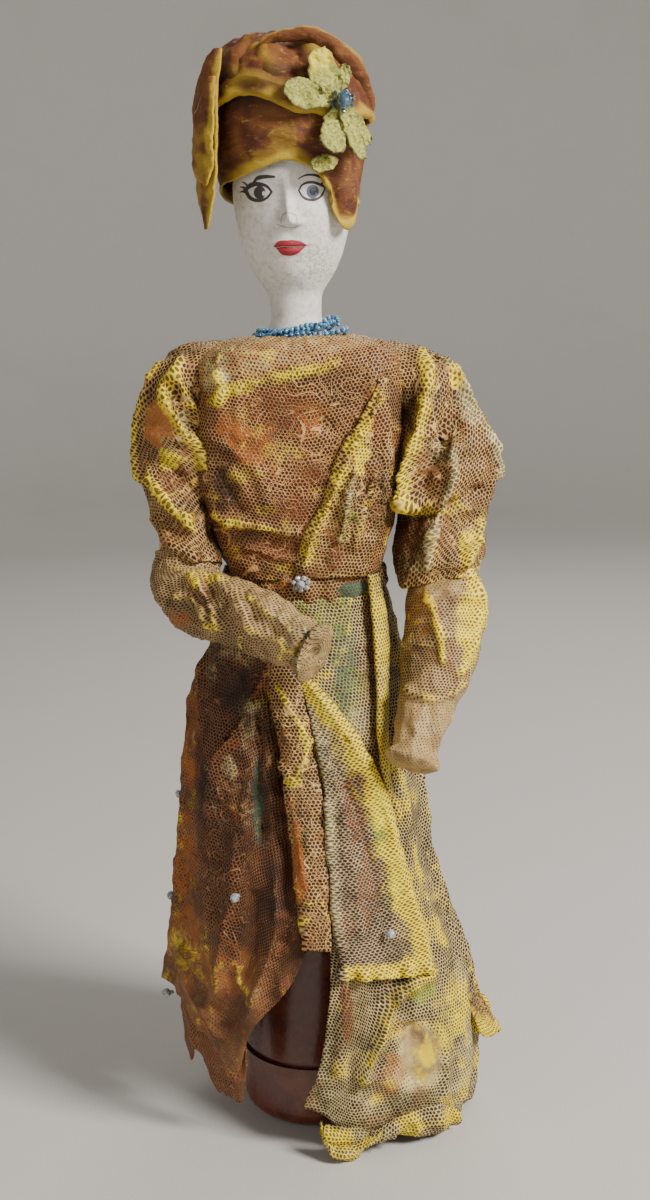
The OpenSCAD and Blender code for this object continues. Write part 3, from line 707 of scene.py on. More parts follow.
def make_skirt_left():
    first = [(8, -6), (17, -6), (28, -1), (50, 4), (64, 6), (100, 5), (140, -4), (182, -9)]
    low = [(-6, 16), (0, 13), (5, 7), (11, 2.5), (18, 3), (28, 5), (38, 3.5), (48, 0.8), (60, 0.6),
           (75, 2.5), (90, 3), (110, 1.5), (130, 3), (150, 5), (170, 8), (182, 9)]
    g = skirt_grid(first, 182, WAIST, low, 0, 230, 150, 0.5, 5)
    pleats(g, [80, 93, 107, 124, 141, 158, 172], 4.4, 7, 6)
    g.fold([(30, 150), (29, 122), (33, 98), (38, 76), (45, 54)], 2.2, 4.5, "ridge", "gold",
           1.4, 0.8)
    g.fold([(26, 136), (27, 118), (30, 102)], 1.2, 3, "ridge", "gold", 1.2, 0.8)
    g.fold([(34, 108), (36, 92), (42, 70)], -1.4, 4)
    g.fold([(41, 57), (33, 56), (26, 52.5), (22, 46), (20, 40), (16, 32), (13, 22)], 4.6, 4.6,
           "ridge", "gold", 3.0, 1.0)
    g.fold([(31, 44), (33, 31), (31, 20)], -3.8, 10)
    g.fold([(46, 58), (49, 40), (49, 20), (46, 4)], 2.6, 5, "ridge", "pale", 3, 0.7)
    g.fold([(40, 40), (42, 26), (41, 12)], 1.6, 3, "ridge", "gold", 1.4, 0.5)
    g.fold([(10, 60), (8, 44), (6, 28)], 1.8, 3.5, "ridge", "rust", 3, 0.5)
    g.fold([(15, 60), (13, 44), (9, 26)], -1.2, 3)
    g.crumple(12, 1.5, 14).crumple(5.5, 0.6, 18)
    x, z = g.p[..., 0], g.p[..., 2]
    g.blotch("gold", 0.45, 9, 24, -0.1, 0.6, smooth(20, 30, x) * smooth(20, 40, z))
    g.brush("filled", 0.9 * smooth(1.2, 0.7, np.hypot((x - 33) / 8, (z - 31) / 14)
                                   + 0.3 * lumps(g.p, 5, 3)) * g.front())
    g.spot((33, 31), (8, 14), "rust", 0.5).spot((35, 26), (5, 8), "gold", 0.35)
    g.brush("pale", 0.3 * smooth(70, 20, z) * g.front())
    g.blotch("rust", 0.5, 8, 41, 0.05, 0.5, smooth(70, 50, z) * smooth(45, 30, x))
    g.blotch("gold", 0.6, 6, 42, 0.1, 0.5, smooth(60, 30, z) * smooth(10, 20, x))
    g.blotch("green", 0.35, 13, 4, -0.1, 0.5, smooth(90, 130, z) * smooth(24, 16, x) * g.front())
    g.spot((12, 158), (5, 20), "teal", 0.5).spot((15, 138), (5, 14), "pale", 0.45)
    g.spot((20, 160), (2.5, 24), "rust", 0.5).spot((22, 120), (3, 20), "rust", 0.5)
    g.spot((24, 26), (4, 9), "orange", 0.5).spot((21, 20), (4, 6), "rust", 0.4)
    g.spot((36, 52), (5, 4), "green", 0.6).spot((43, 40), (4, 10), "green", 0.3)
    # The dark band at (30, 16) is painted shadow above the hem roll
    g.spot((10, 50), (2.4, 14), "rust", 0.55).spot((30, 16), (10, 3.5), "dark", 0.3)
    # The dark band on the next line is painted shadow under the big fold's ridge
    g.spot((26, 54), (8, 3), "dark", 0.45)
    g.ridge_gold(12, 14, 0.6)
    return g


def make_petticoat():
    low = [(-104, 30), (-96, 26), (-88, 22), (-80, 27), (-72, 20), (-66, 26), (-60, 30), (-55, 25),
           (-50, 17), (-44, 15), (-38, 15), (-33, 17), (-30, 30)]
    g = skirt_grid(-104, -30, 120, low, -3.2, 90, 70, 1.2, 9)
    g.fold([(-38, 60), (-34, 40), (-27, 20)], 2.4, 4, "ridge", "orange", 3, 0.6)
    g.fold([(-45, 60), (-43, 40), (-40, 26)], 2.0, 4)
    g.crumple(9, 1.2, 21)
    g.brush("orange", 0.15).brush("rust", 0.3).brush("filled", 0.3)
    return g


def make_front_panel():
    left = [(62, 7), (65, 6.8), (75, 5.8), (89, 4.9), (115, 4), (131, 2.3), (147, 0), (162, -3)]
    right = [(54, 41), (63, 39.7), (83, 34.7), (95, 31.3), (105, 29.1), (117, 26.4), (132, 20.3),
             (146, 11.3), (157, 1), (162, -1)]
    g = between(left, right, 161, (63, 58), 140, 90, skirt_depth(3.4), (2.5, 4))
    g.fold([(-3, 160), (7, 147), (16, 132), (22.5, 116), (27.5, 95), (31, 82), (36, 63), (37, 57)],
           2.4, 5, "ridge", "gold", 6.5, 1.0)
    g.fold([(4, 140), (10, 118), (13, 96), (15, 72)], 1.3, 4)
    g.fold([(4, 142), (14, 118), (20, 94), (24, 68)], -1.6, 4)
    g.fold([(5.5, 122), (6.5, 92), (8.5, 68)], 1.6, 3, "ridge", "pale", 2, 0.5)
    g.crumple(10, 1.1, 31).crumple(4, 0.35, 33)
    x, z = g.p[..., 0], g.p[..., 2]
    g.brush("gold", 0.75 * smooth(9, 3, curve(right, z) - x + 2.5 * lumps(g.p, 5, 2)))
    g.spot((22.5, 113), (3.4, 12), "green", 1.0).spot((27, 92), (3, 12), "green", 0.6)
    g.spot((14, 118), (5, 14), "rust", 0.5).spot((18, 92), (5, 16), "rust", 0.45)
    g.spot((3, 136), (4, 7), "teal", 0.3).spot((10, 80), (4, 8), "rust", 0.3)
    g.brush("pale", 0.35 * smooth(14, 5, x) * smooth(62, 90, z))
    hem = smooth(67, 64.5, z + (x - 7) * 0.12)
    g.push(0.8 * hem + 1.0 * hem * np.sin(x * 0.9))
    g.brush("gold", 1.0 * smooth(69, 65.5, z + (x - 7) * 0.12 + 1.2 * lumps(g.p, 3, 7))
            * smooth(7.5, 11, x))
    g.crumple(3, 1.0, 35, hem)
    return g


def make_centre_strip():
    left = [(72, -3), (75, -3.2), (89, -5.3), (123, -8.5), (131, -9), (157, -12.7), (166, -13)]
    right = [(72, 5.2), (74, 5.2), (89, 4.8), (114, 4.2), (131, 2.4), (147, 0), (158, -2),
             (166, -3)]
    g = between(left, right, 166, (73, 72), 120, 36, skirt_depth(2.2), (3, 0))
    x, z = g.p[..., 0], g.p[..., 2]
    mid = curve([(72, 1), (89, 0), (123, -2), (147, -5.5), (166, -8)], z)
    g.push(2.2 * np.clip(1 - ((x - mid) / 6) ** 2, 0, 1))
    g.fold([(-11, 158), (-4, 146), (-0.5, 137), (-6, 126)], 0.9, 1.5, "ridge", "gold", 1.2, 1.0)
    g.fold([(-6, 124), (-4, 105), (-1, 86)], 0.8, 2.2, "ridge", "orange", 1.6, 0.7)
    g.fold([(-10, 132), (-5, 128), (0, 134)], 1.4, 2.4)
    g.crumple(7, 1.3, 41).crumple(3.5, 0.4, 43)
    g.spot((-6, 126.5), (3.4, 2), "gold", 1.0).spot((-4.5, 98), (2.4, 16), "orange", 0.7)
    g.spot((-8, 136), (3, 8), "rust", 0.5).spot((-3, 118), (3, 5), "dark", 0.35)
    g.spot((1, 78), (4, 5), "rust", 0.4)
    g.ridge_gold(7, 41, 0.7)
    return g


def make_side_strip():
    """The narrow gold fold that runs down from the left of the waist."""
    rows, cols = 90, 14
    middle = spline([(22.4, 189), (24.3, 172), (24.6, 156), (24, 138), (24.6, 126), (26, 118)],
                    rows)
    width = curve([(0, 2.0), (0.15, 2.6), (0.6, 2.2), (1, 1.2)], np.linspace(0, 1, rows))
    u = np.linspace(-1, 1, cols)[None, :]
    x = middle[:, :1] + width[:, None] * u
    z = middle[:, 1:] + 0 * u
    y = skirt_depth(2.6)(x, np.minimum(z, WAIST)) - 2.2 * np.sqrt(np.clip(1 - u**2, 0, 1))
    g = Grid(np.stack([x, y, z], 2))
    g.crumple(4, 0.5, 51)
    g.brush("gold", 0.55 + 0.3 * lumps(g.p, 7, 2)).brush("pale", 0.3)
    return g


def make_hem_turnup():
    """The hem of the left panel, rolled up at the front."""
    v, u = shares(22, 90)
    angle = 1 + 52 * u
    rise = curve([(0, 7), (0.2, 8), (0.35, 5.5), (0.6, 9), (0.8, 12), (1, 7)], u)
    foot = curve([(0, 5), (0.25, 2.5), (0.5, 5), (0.75, 2.5), (1, 1)], u)
    z = foot + rise * v
    place = skirt_place(angle + 0 * z, z, 2.6)
    bulge = 2.2 * np.sin(math.pi * v) * (1 + 0.45 * np.sin(u * 19)) + 0.5 * np.sin(u * 31 + 3 * v)
    place[..., 1] -= bulge * np.cos(np.radians(angle))
    place[..., 0] += bulge * np.sin(np.radians(angle))
    g = Grid(place[::-1])
    g.crumple(7, 1.6, 61).crumple(3.5, 0.5, 63)
    g.brush("pale", 0.25 + 0.4 * lumps(g.p, 6, 3))
    g.blotch("gold", 0.8, 7, 9, 0.0, 0.6)
    # Painted shadow: darker along the top edge of the roll at the front
    g.brush("dark", 0.5 * smooth(0.3, 0.0, v + 0 * u) * smooth(0.5, 0.3, u + 0 * v))
    return g


def make_hem_loop():
    """The part of the front hem that curls forwards onto the floor."""
    v, u = shares(20, 40)
    x = curve([(0, 0), (0.2, 2), (0.5, 8), (0.8, 14), (1, 20)], u) + 0 * v
    low = curve([(0, 9), (0.2, 3), (0.5, 0.6), (0.8, 2.5), (1, 7)], u)
    top = curve([(0, 13), (0.2, 8), (0.5, 5), (0.8, 6), (1, 9)], u)
    turn = v * math.pi * 1.1
    z = low + (top - low) * (0.5 - 0.5 * np.cos(turn))
    y = -43.5 - 4.2 * np.sin(math.pi * u) ** 0.5 * np.sin(turn) - 1.5 * np.sin(math.pi * u)
    g = Grid(np.stack([x, y + 0 * x, z], 2)[::-1])
    g.crumple(4.5, 1.3, 65)
    g.brush("gold", 0.6 + 0.4 * lumps(g.p, 4, 9)).brush("pale", 0.3)
    return g


def make_hem_ruffle():
    """The gathered flap that stands out at the left side."""
    v, u = shares(34, 60)
    angle = 66 + 36 * u
    z = 45 - (5 + 14 * np.sin(math.pi * np.clip(u * 1.05, 0, 1)) ** 0.6) * v
    out = 0.2 + 9.0 * v**1.4 * np.sin(math.pi * np.clip(u * 1.05, 0, 1)) ** 0.7
    g = Grid(skirt_place(angle + 6 * v * np.sin(u * 21), z, out + 1.5 * v * np.sin(u * 26)))
    g.crumple(5, 1.6, 71).crumple(2.5, 0.6, 73)
    g.brush("gold", 0.8 * smooth(0.5, 0.98, v + 0.3 * lumps(g.p, 5, 3))).brush("rust", 0.2)
    g.blotch("gold", 0.5, 5, 8, 0, 0.6)
    return g


def make_costume_skirt():
    pieces = [
        ("robe_right_panel", make_skirt_right(), NET_RUST, "net_rust", ("overskirt_right",)),
        ("robe_left_panel", make_skirt_left(), NET_PALE, "net_pale", ("overskirt_left",)),
        ("petticoat", make_petticoat(), NET_RUST, "net_rust", ("underskirt",)),
        ("front_fall", make_front_panel(), NET_LADDER, "net_pale", ("front_panel",)),
        ("centre_fold", make_centre_strip(), NET_GOLD, "net_gold", ()),
        ("side_fold", make_side_strip(), NET_PALE, "net_gold", ("side_gather",)),
        ("hem_roll", make_hem_turnup(), NET_PALE, "net_gold", ("hem_turnup",)),
        ("hem_curl", make_hem_loop(), NET_PALE, "net_gold", ()),
        ("side_ruffle", make_hem_ruffle(), NET_GOLD, "net_gold", ("hem_ruffle",)),
    ]
    made = {}
    for name, grid, material, slot_name, nodes in pieces:
        made[name] = finish_piece(cloth(name, grid), material, "stand", slot_name, *nodes)
    return made


make_costume_skirt()

# ---- Bodice ----

# Height, half width, and depth to the front and to the back, from the waist to the collar
BODICE = [
    (0.00, 188.5, 24.5, 19.0, 18.0), (0.20, 204, 29.5, 21.4, 18.8), (0.38, 219, 34.0, 23.4, 19.4),
    (0.56, 234, 33.8, 22.8, 19.8), (0.70, 246, 33.8, 21.8, 19.8), (0.80, 254.5, 33.6, 20.8, 19.4),
    (0.88, 260, 32.0, 19.6, 18.8), (0.94, 263.4, 26.0, 18.0, 18.0), (1.00, 265.4, 16.0, 15.8, 16.0),
]
BODICE_POWER = 3.8


def bodice_depth(x, z):
    """The front of the bodice at (x, z)."""
    table = np.array(BODICE)
    w = curve(table[:, [1, 2]], z)
    f = curve(table[:, [1, 3]], z)
    share = np.abs(np.clip(x / w, -0.99, 0.99))
    return -f * (1 - share**BODICE_POWER) ** (1 / BODICE_POWER)


def make_bodice():
    rows, cols = 110, 200
    table = np.array(BODICE)
    t = np.linspace(0, 1, rows)[::-1]
    z, w, f, b = (curve(table[:, [0, k]], t)[:, None] for k in (1, 2, 3, 4))
    a = np.linspace(0, 2 * math.pi, cols, endpoint=False)[None, :] - math.pi
    power = 2 / (2 + (BODICE_POWER - 2) * smooth(1, 0.85, t))[:, None]
    s, c = np.sin(a), np.cos(a)
    x = w * np.sign(s) * np.abs(s) ** power
    y = -np.where(c > 0, f, b) * np.sign(c) * np.abs(c) ** power
    g = Grid(np.stack([x, y, z + 0 * x], 2), closed=True)
    g.fold([(-30, 244), (-27, 246), (-20, 249.6), (-10, 252.6), (1, 254.6), (10, 256.4), (16, 259)],
           1.8, 2.4, "ridge", "gold", 2.6, 1.0)
    g.fold([(-26, 256), (-24, 250), (-27, 245)], 1.6, 3, "ridge", "gold", 2.4, 0.7)
    g.fold([(-30, 236), (-20, 230), (-12, 222), (-10, 210)], 1.4, 4)
    g.fold([(-30, 212), (-24, 208), (-16, 207), (-8, 205), (2, 203)], 2.2, 2.8, "ridge", "gold",
           1.8, 0.8)
    g.fold([(-27, 226), (-24, 220), (-21, 215), (-18, 210)], -2.0, 5)
    g.fold([(-20, 200), (-10, 197), (0, 195)], 1.6, 3)
    g.fold([(2, 246), (8, 238), (13, 232)], -1.2, 4)
    g.crumple(10, 1.4, 81).crumple(5, 0.55, 85)
    x, z = g.p[..., 0], g.p[..., 2]
    seam = [(-28, 250), (-10, 253.6), (1, 255.6), (14, 259), (28, 262)]
    yoke = smooth(0, 2.5, z - curve(seam, x))
    g.brush("pale", 0.3 * yoke * g.front())
    g.brush("filled", 0.3 * yoke)
    g.crumple(2.4, 0.5, 87, yoke * g.front())
    # The dark spot on the next line is painted shadow in the hollow under the right sleeve's front
    # edge
    g.spot((-24, 219), (5, 8), "dark", 0.8).spot((-5, 243), (12, 9), "rust", 0.55)
    g.blotch("rust", 0.45, 8, 33, 0.0, 0.5, smooth(252, 246, z))
    g.blotch("gold", 0.35, 5, 34, 0.25, 0.7, smooth(250, 240, z))
    # Painted shade: the sides darken under the sleeves
    g.brush("dark", 0.4 * smooth(0.78, 0.98, np.abs(x) / 34) * smooth(258, 250, z))
    g.spot((-14, 232), (8, 9), "orange", 0.5).spot((4, 240), (6, 8), "orange", 0.45)
    g.spot((-5, 230), (9, 5), "gold", 0.35).spot((-22, 238), (5, 6), "orange", 0.5)
    g.spot((-25, 252), (6, 5), "pale", 0.4).spot((-17, 224), (8, 4), "gold", 0.3)
    g.spot((-2, 212), (8, 6), "rust", 0.5).spot((-10, 199), (12, 5), "rust", 0.7)
    # The dark spot on the next line is painted shadow under the fold above it
    g.spot((-18, 203), (7, 4), "dark", 0.5).spot((2, 224), (5, 7), "rust", 0.5)
    g.ridge_gold(10, 81, 0.5)
    return g


def make_wrap():
    """The left front, whose gold edge crosses from the neck to the waist."""
    left = [(188, -5), (194, -4), (200, -2), (208, 2), (219, 7.4), (231, 13), (240, 19.5),
            (250, 25)]
    right = [(188, 20), (200, 24), (215, 28), (240, 29.4), (250, 29.2)]

    def depth(x, z):
        return bodice_depth(x, z) - 1.1
    g = between(left, right, 252, 189, 120, 70, depth, (3, 0))
    g.fold([(26.4, 250), (22.6, 240), (16.4, 231), (11, 219), (5.6, 208), (2, 200), (-0.6, 190)],
           2.6, 3.0, "ridge", "gold", 3.6, 1.0)
    g.fold([(28, 246), (25, 232), (22, 216), (20.5, 200)], -3.0, 5)
    g.fold([(17, 226), (14, 212), (11, 198)], 2.2, 3.4, "ridge", "pale", 1.8, 0.6)
    g.fold([(25, 226), (20, 212), (16, 196)], 1.6, 3, "ridge", "gold", 1.2, 0.5)
    g.crumple(8, 1.5, 91).crumple(4.5, 0.6, 95)
    g.spot((20, 227), (3.4, 6), "gold", 1.0).spot((14, 206), (5, 8), "green", 0.3)
    # The dark spot on the next line is painted shade in the fold valley
    g.spot((25, 212), (3.4, 14), "dark", 0.5).spot((9, 196), (5, 6), "rust", 0.4)
    g.spot((10, 203), (3, 8), "rust", 0.4).spot((24, 238), (3, 8), "rust", 0.4)
    return g


def make_sash():
    """The gathered waistband."""
    rows, cols = 20, 150
    a = np.linspace(0, 2 * math.pi, cols, endpoint=False)[None, :] - math.pi
    v = np.linspace(0, 1, rows)[:, None]
    z = 190.5 - 9.5 * v
    swell = 1.2 * np.sin(math.pi * v)
    x = (26.2 + swell) * np.sin(a)
    y = -(19.3 + swell) * np.cos(a)
    g = Grid(np.stack([x, y, z + 0 * x], 2), closed=True)
    g.push(0.5 * np.sin(a * 22 + 2 * lumps(g.p, 9, 2)))
    g.crumple(5, 0.8, 99)
    g.spot((16, 184.5), (5, 3), "teal", 1.0).spot((15, 188.6), (4, 1.6), "orange", 1.0)
    g.spot((-8, 187), (5, 2), "orange", 0.5).brush("rust", 0.3)
    return g


finish_piece(cloth("bodice_cloth", make_bodice()), NET_CHEST, "stand", "net_gold", "bodice")
finish_piece(cloth("bodice_wrap_cloth", make_wrap()), NET_GOLD, "stand", "net_pale", "bodice_wrap")
finish_piece(cloth("waistband", make_sash(), 0.8), NET_GOLD, "stand", "net_gold", "waist_sash")

# ---- Sleeves ----


def make_right_upper_sleeve():
    g = tube([(-16, 2.5, 254.5), (-25, 2.5, 254), (-33, 2, 252), (-38, 1, 246), (-40.4, 0, 237),
              (-40.6, -1, 228), (-40, -4, 217), (-38, -8, 204), (-36.5, -12, 192)],
             [(8.5, 12), (10.4, 14), (11.8, 14.6), (12.2, 14.8), (12.2, 15), (12.4, 15),
              (11.0, 13.2), (9.4, 11.5), (9.4, 11)],
             130, 110, side=(-1, 0, 1), phase=math.pi)
    axis = [(256, -34, 2), (246, -38, 1), (237, -40.4, 0), (228, -40.6, -1), (217, -40, -4),
            (204, -38, -8), (192, -36.5, -12)]
    g.crest(axis, [(259, -10), (250, -18), (241, 2), (231, 26), (221, 44), (214, 50)], 4.5, 11,
            "gold", 9)
    g.crest(axis, [(258, -52), (246, -50), (232, -60), (220, -66)], 3.0, 12, "gold", 7)
    g.crest(axis, [(226, -40), (214, -10), (204, 20)], 2.6, 10, "gold", 6)
    g.fold([(-39.6, 258), (-37, 251), (-34, 244), (-31, 232), (-29, 221)], 2.2, 3, "ridge", "gold",
           1.8, 0.7)
    g.fold([(-43, 254), (-37, 244), (-33, 236)], -1.8, 3)
    g.fold([(-50, 224), (-42, 214), (-34, 208)], 2.4, 4, "ridge", "gold", 1.4, 0.5)
    g.fold([(-48, 210), (-40, 200), (-32, 196)], 2.2, 3.4)
    g.fold([(-46, 230), (-38, 222), (-32, 216)], -1.8, 4)
    g.crumple(9, 1.8, 101).crumple(4.5, 0.6, 105)
    g.spot((-45, 240), (6, 8), "orange", 1.0).spot((-45, 240), (6, 8), "filled", 0.8)
    g.spot((-40, 222), (6, 7), "rust", 0.6).spot((-42, 228), (4, 4), "gold", 0.7)
    g.spot((-36, 240), (3, 6), "pale", 0.5)
    # The dark spot on the next line is painted shade where the sleeve's edge meets the bodice
    g.spot((-31, 222), (3, 10), "dark", 0.5).spot((-40, 206), (7, 5), "rust", 0.4)
    # Painted shade: darker near the shoulder on the side that faces the body
    g.brush("dark", 0.7 * smooth(0.5, 0.95, g.normals()[..., 0]) * smooth(255, 245, g.p[..., 2]))
    g.ridge_gold(9, 101, 0.6)
    return g


def make_right_lower_sleeve():
    g = tube([(-37, -11, 196), (-38.5, -14, 187), (-35, -18, 182.5), (-26, -24, 180.5),
              (-14, -32.5, 177.5), (-3, -40, 172.5), (1.8, -43.3, 170.4), (3.3, -44.3, 169.7),
              (3.6, -44.5, 169.5)],
             [(9.0, 10.5), (10.8, 10.8), (11.0, 10.4), (10.8, 9.6), (10.4, 8.8), (9.2, 7.8),
              (8.0, 6.8), (6.8, 5.8), (0.3, 0.3)],
             160, 96, side=(0, -0.25, 1))
    g.fold([(-44, 196), (-34, 192), (-22, 188), (-8, 180)], 1.0, 4, "ridge", "gold", 1.4, 0.6)
    g.fold([(-42, 186), (-34, 184), (-29, 176)], 2.4, 2.8, "ridge", "gold", 1.5, 0.8)
    g.fold([(-37, 193), (-30, 185), (-26, 174)], 2.2, 2.8, "ridge", "gold", 1.4, 0.7)
    g.fold([(-28, 192), (-20, 184), (-14, 172)], 1.8, 3, "ridge", "pale", 1.2, 0.5)
    g.fold([(-18, 188), (-10, 182), (-2, 176)], 1.4, 2.6)
    g.fold([(2, 178), (-2, 172), (-6, 163)], -1.4, 2.4)
    g.crumple(7, 1.7, 111).crumple(3.6, 0.7, 115)
    x = g.p[..., 0]
    smooth_part = smooth(-20, -6, x)
    g.brush("filled", 0.2 * smooth_part).brush("pale", 0.2 * smooth_part)
    g.spot((-33, 188), (6, 6), "rust", 0.5).spot((-40, 178), (5, 4), "orange", 0.5)
    g.ridge_gold(7, 111, 0.7)
    return g


def make_left_upper_sleeve():
    g = tube([(16, 2.5, 253.5), (25, 2.5, 252.5), (34.5, 2, 249.5), (41, 1, 243.5), (44, 0, 235),
              (46.6, -1, 223), (46.6, -2, 214), (45.6, -2.5, 206), (45, -3, 197), (44.6, -4, 189),
              (44.4, -4.4, 185)],
             [(8.5, 12), (10.4, 14), (12.2, 14.8), (13.8, 15.4), (15.4, 16.2), (17.6, 17.4),
              (16.6, 16.2), (13.4, 13.8), (14.6, 14.6), (14.4, 14.4), (14.0, 14.0)],
             170, 130, side=(1, 0, 1))
    axis = [(256, 38, 2), (243, 41, 1), (235, 44, 0), (223, 46.6, -1), (206, 45.6, -2.5),
            (185, 44.4, -4.4)]
    g.crest(axis, [(259, 16), (250, 8), (243, -4), (236, -18), (229, -30), (221, -40), (210, -44)],
            [(209, 9), (215, 9.5), (228, 7), (240, 5), (258, 3)], 12, "gold", 10)
    g.crest(axis, [(240, 20), (230, 0), (221, -18), (212, -22)], -3.0, 13)
    g.crest(axis, [(258, 48), (245, 54), (230, 62), (216, 74)], 3.5, 12, "pale", 12)
    g.crest(axis, [(232, 10), (220, 6), (208, -8), (190, -20)], 2.6, 9, "pale", 5)
    g.crest(axis, [(206, 60), (196, 40), (188, 26)], 3.4, 12, "gold", 13)
    g.crest(axis, [(204, -10), (194, -34), (186, -52)], 2.4, 10)
    g.fold([(50, 254), (51, 243), (47, 233), (40, 226), (36, 216)], -2.4, 5)
    g.fold([(60, 216), (52, 213), (42, 208), (34, 206)], -2.4, 3.4)
    g.fold([(28, 214), (32, 211.5), (38, 211)], 2.6, 3, "ridge", "gold", 2.4, 1.0)
    g.crumple(10, 2.0, 121).crumple(5, 0.8, 125)
    x, z = g.p[..., 0], g.p[..., 2].copy()
    g.p[..., 2] += 0.22 * (x - 44) * smooth(200, 186, z)
    g.brush("gold", 0.8 * smooth(187.5, 185.5, z + 0.8 * lumps(g.p, 3, 4)))
    g.spot((31, 217), (4, 6), "gold", 1.0).spot((55, 244), (4, 9), "pale", 0.6)
    g.spot((38, 200), (9, 8), "rust", 0.6).spot((53, 198), (3, 6), "gold", 0.9)
    g.spot((51, 252), (3, 6), "gold", 0.9).spot((42, 220), (7, 5), "rust", 0.4)
    # The dark spot (33, 240) is painted shade where the sleeve meets the bodice
    g.spot((50, 236), (5, 7), "rust", 0.3).spot((33, 240), (4, 7), "dark", 0.4)
    g.spot((36, 192), (6, 5), "pale", 0.4).spot((44, 228), (4, 5), "pale", 0.4)
    # Painted shade: darker near the shoulder on the side that faces the body
    g.brush("dark", 0.75 * smooth(-0.45, -0.9, g.normals()[..., 0]) * smooth(255, 245, z))
    g.ridge_gold(10, 121, 0.6)
    return g


def make_left_lower_sleeve():
    g = tube([(45.5, -3, 206), (46, -3.5, 197), (46, -5, 188), (46, -9, 176), (44.5, -13, 166),
              (42, -18, 156.5), (39.5, -23, 150.5), (36.5, -28.5, 143), (33.6, -33.5, 135),
              (32, -36, 130.4), (31.5, -36.8, 129.2)],
             [(10.0, 10.0), (10.6, 10.6), (11.4, 11.4), (12.6, 12.2), (12.6, 11.8), (11.8, 10.6),
              (9.8, 9.2), (8.4, 8.0), (7.2, 6.8), (6.2, 5.8), (0.3, 0.3)],
             120, 90)
    g.fold([(34, 200), (46, 196), (60, 199)], 1.8, 3.5)
    g.fold([(32, 186), (44, 190), (58, 184)], -1.8, 4)
    g.fold([(50, 190), (56, 180), (57, 168)], 1.6, 4, "ridge", "gold", 2.2, 0.7)
    g.fold([(30, 164), (42, 170), (57, 166)], 1.0, 3, "ridge", "pale", 1.4, 0.5)
    g.fold([(30, 154), (41, 151), (52, 155)], 2.0, 2.4, "ridge", "gold", 1.4, 0.6)
    g.fold([(36, 150), (33, 138), (31, 130)], 0.8, 3)
    g.crumple(7, 1.2, 131).crumple(3.8, 0.4, 135)
    z = g.p[..., 2]
    cuff = smooth(154, 149, z)
    g.brush("filled", 0.45 * cuff).brush("rust", 0.16 * cuff)
    axis = [(197, 46, -3.5), (188, 46, -5), (176, 46, -9), (166, 44.5, -13), (156, 42, -18),
            (143, 36.5, -28.5)]
    g.crest(axis, [(190, 40), (178, 50), (166, 44), (156, 30)], 2.4, 11, "gold", 12)
    g.crest(axis, [(184, -30), (172, -12), (160, 2)], 2.2, 10, "gold", 5)
    g.fold([(36, 178), (46, 184), (56, 180)], 1.6, 3)
    g.spot((53, 172), (5, 12), "gold", 0.7).spot((38, 176), (7, 10), "orange", 0.35)
    g.spot((55, 182), (4, 6), "gold", 0.5).spot((44, 163), (6, 5), "rust", 0.4)
    g.spot((44, 184), (8, 5), "filled", 0.5)
    g.ridge_gold(7, 131, 0.5)
    return g


def make_sleeves():
    specs = [
        ("right_upper_sleeve_cloth", make_right_upper_sleeve(), NET_GOLD, "net_gold",
         "right_upper_sleeve", "stand", "right_upper_arm", (-34, 2, 256), (-36, 0, 222)),
        ("right_lower_sleeve_cloth", make_right_lower_sleeve(), NET_CUFF, "net_pale",
         "right_lower_sleeve", "right_upper_arm", "right_forearm", (-39, -12, 191),
         (-30, -22, 180)),
        ("left_upper_sleeve_cloth", make_left_upper_sleeve(), NET_GOLD, "net_gold",
         "left_upper_sleeve", "stand", "left_upper_arm", (34, 2, 256), (36, 0, 222)),
        ("left_lower_sleeve_cloth", make_left_lower_sleeve(), NET_CUFF, "net_pale",
         "left_lower_sleeve", "left_upper_arm", "left_forearm", (48, -3, 192), (46, -8, 172)),
    ]
    for name, grid, material, slot_name, node, a, b, start, end in specs:
        piece = finish_piece(cloth(name, grid), material, None, slot_name, node)
        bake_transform(piece)


make_sleeves()

# ---- Head and painted face ----

# Height and radius of the head, from the neck to the crown
HEAD = [(256.4, 13.5), (262, 12.8), (265.4, 10.4), (269, 8.8), (275, 8.3), (279, 8.8),
        (281.5, 10.3), (285, 12.8), (290, 15.1), (296, 17.0), (302, 18.2), (308, 18.7),
        (320, 18.7), (331, 18.2), (340, 14.6), (345.5, 9.2), (348, 0.6)]
EYES = ((-10.2, 309.6), (6.7, 309.4))


def hump(x, z, centre, radius):
    """1 at the centre, falling off smoothly round it."""
    return np.exp(-((x - centre[0]) / radius[0]) ** 2 - ((z - centre[1]) / radius[1]) ** 2)


def brush_stroke(x, z, line, widths):
    """How far inside a painted stroke each point is. widths are half widths from start to end."""
    d, _, share = from_line(x, z, line)
    return np.interp(share, np.linspace(0, 1, len(widths)), widths) - d


def oval(x, z, centre, radius):
    """How far inside a painted oval each point is."""
    return (1 - np.hypot((x - centre[0]) / radius[0], (z - centre[1]) / radius[1])) * min(radius)


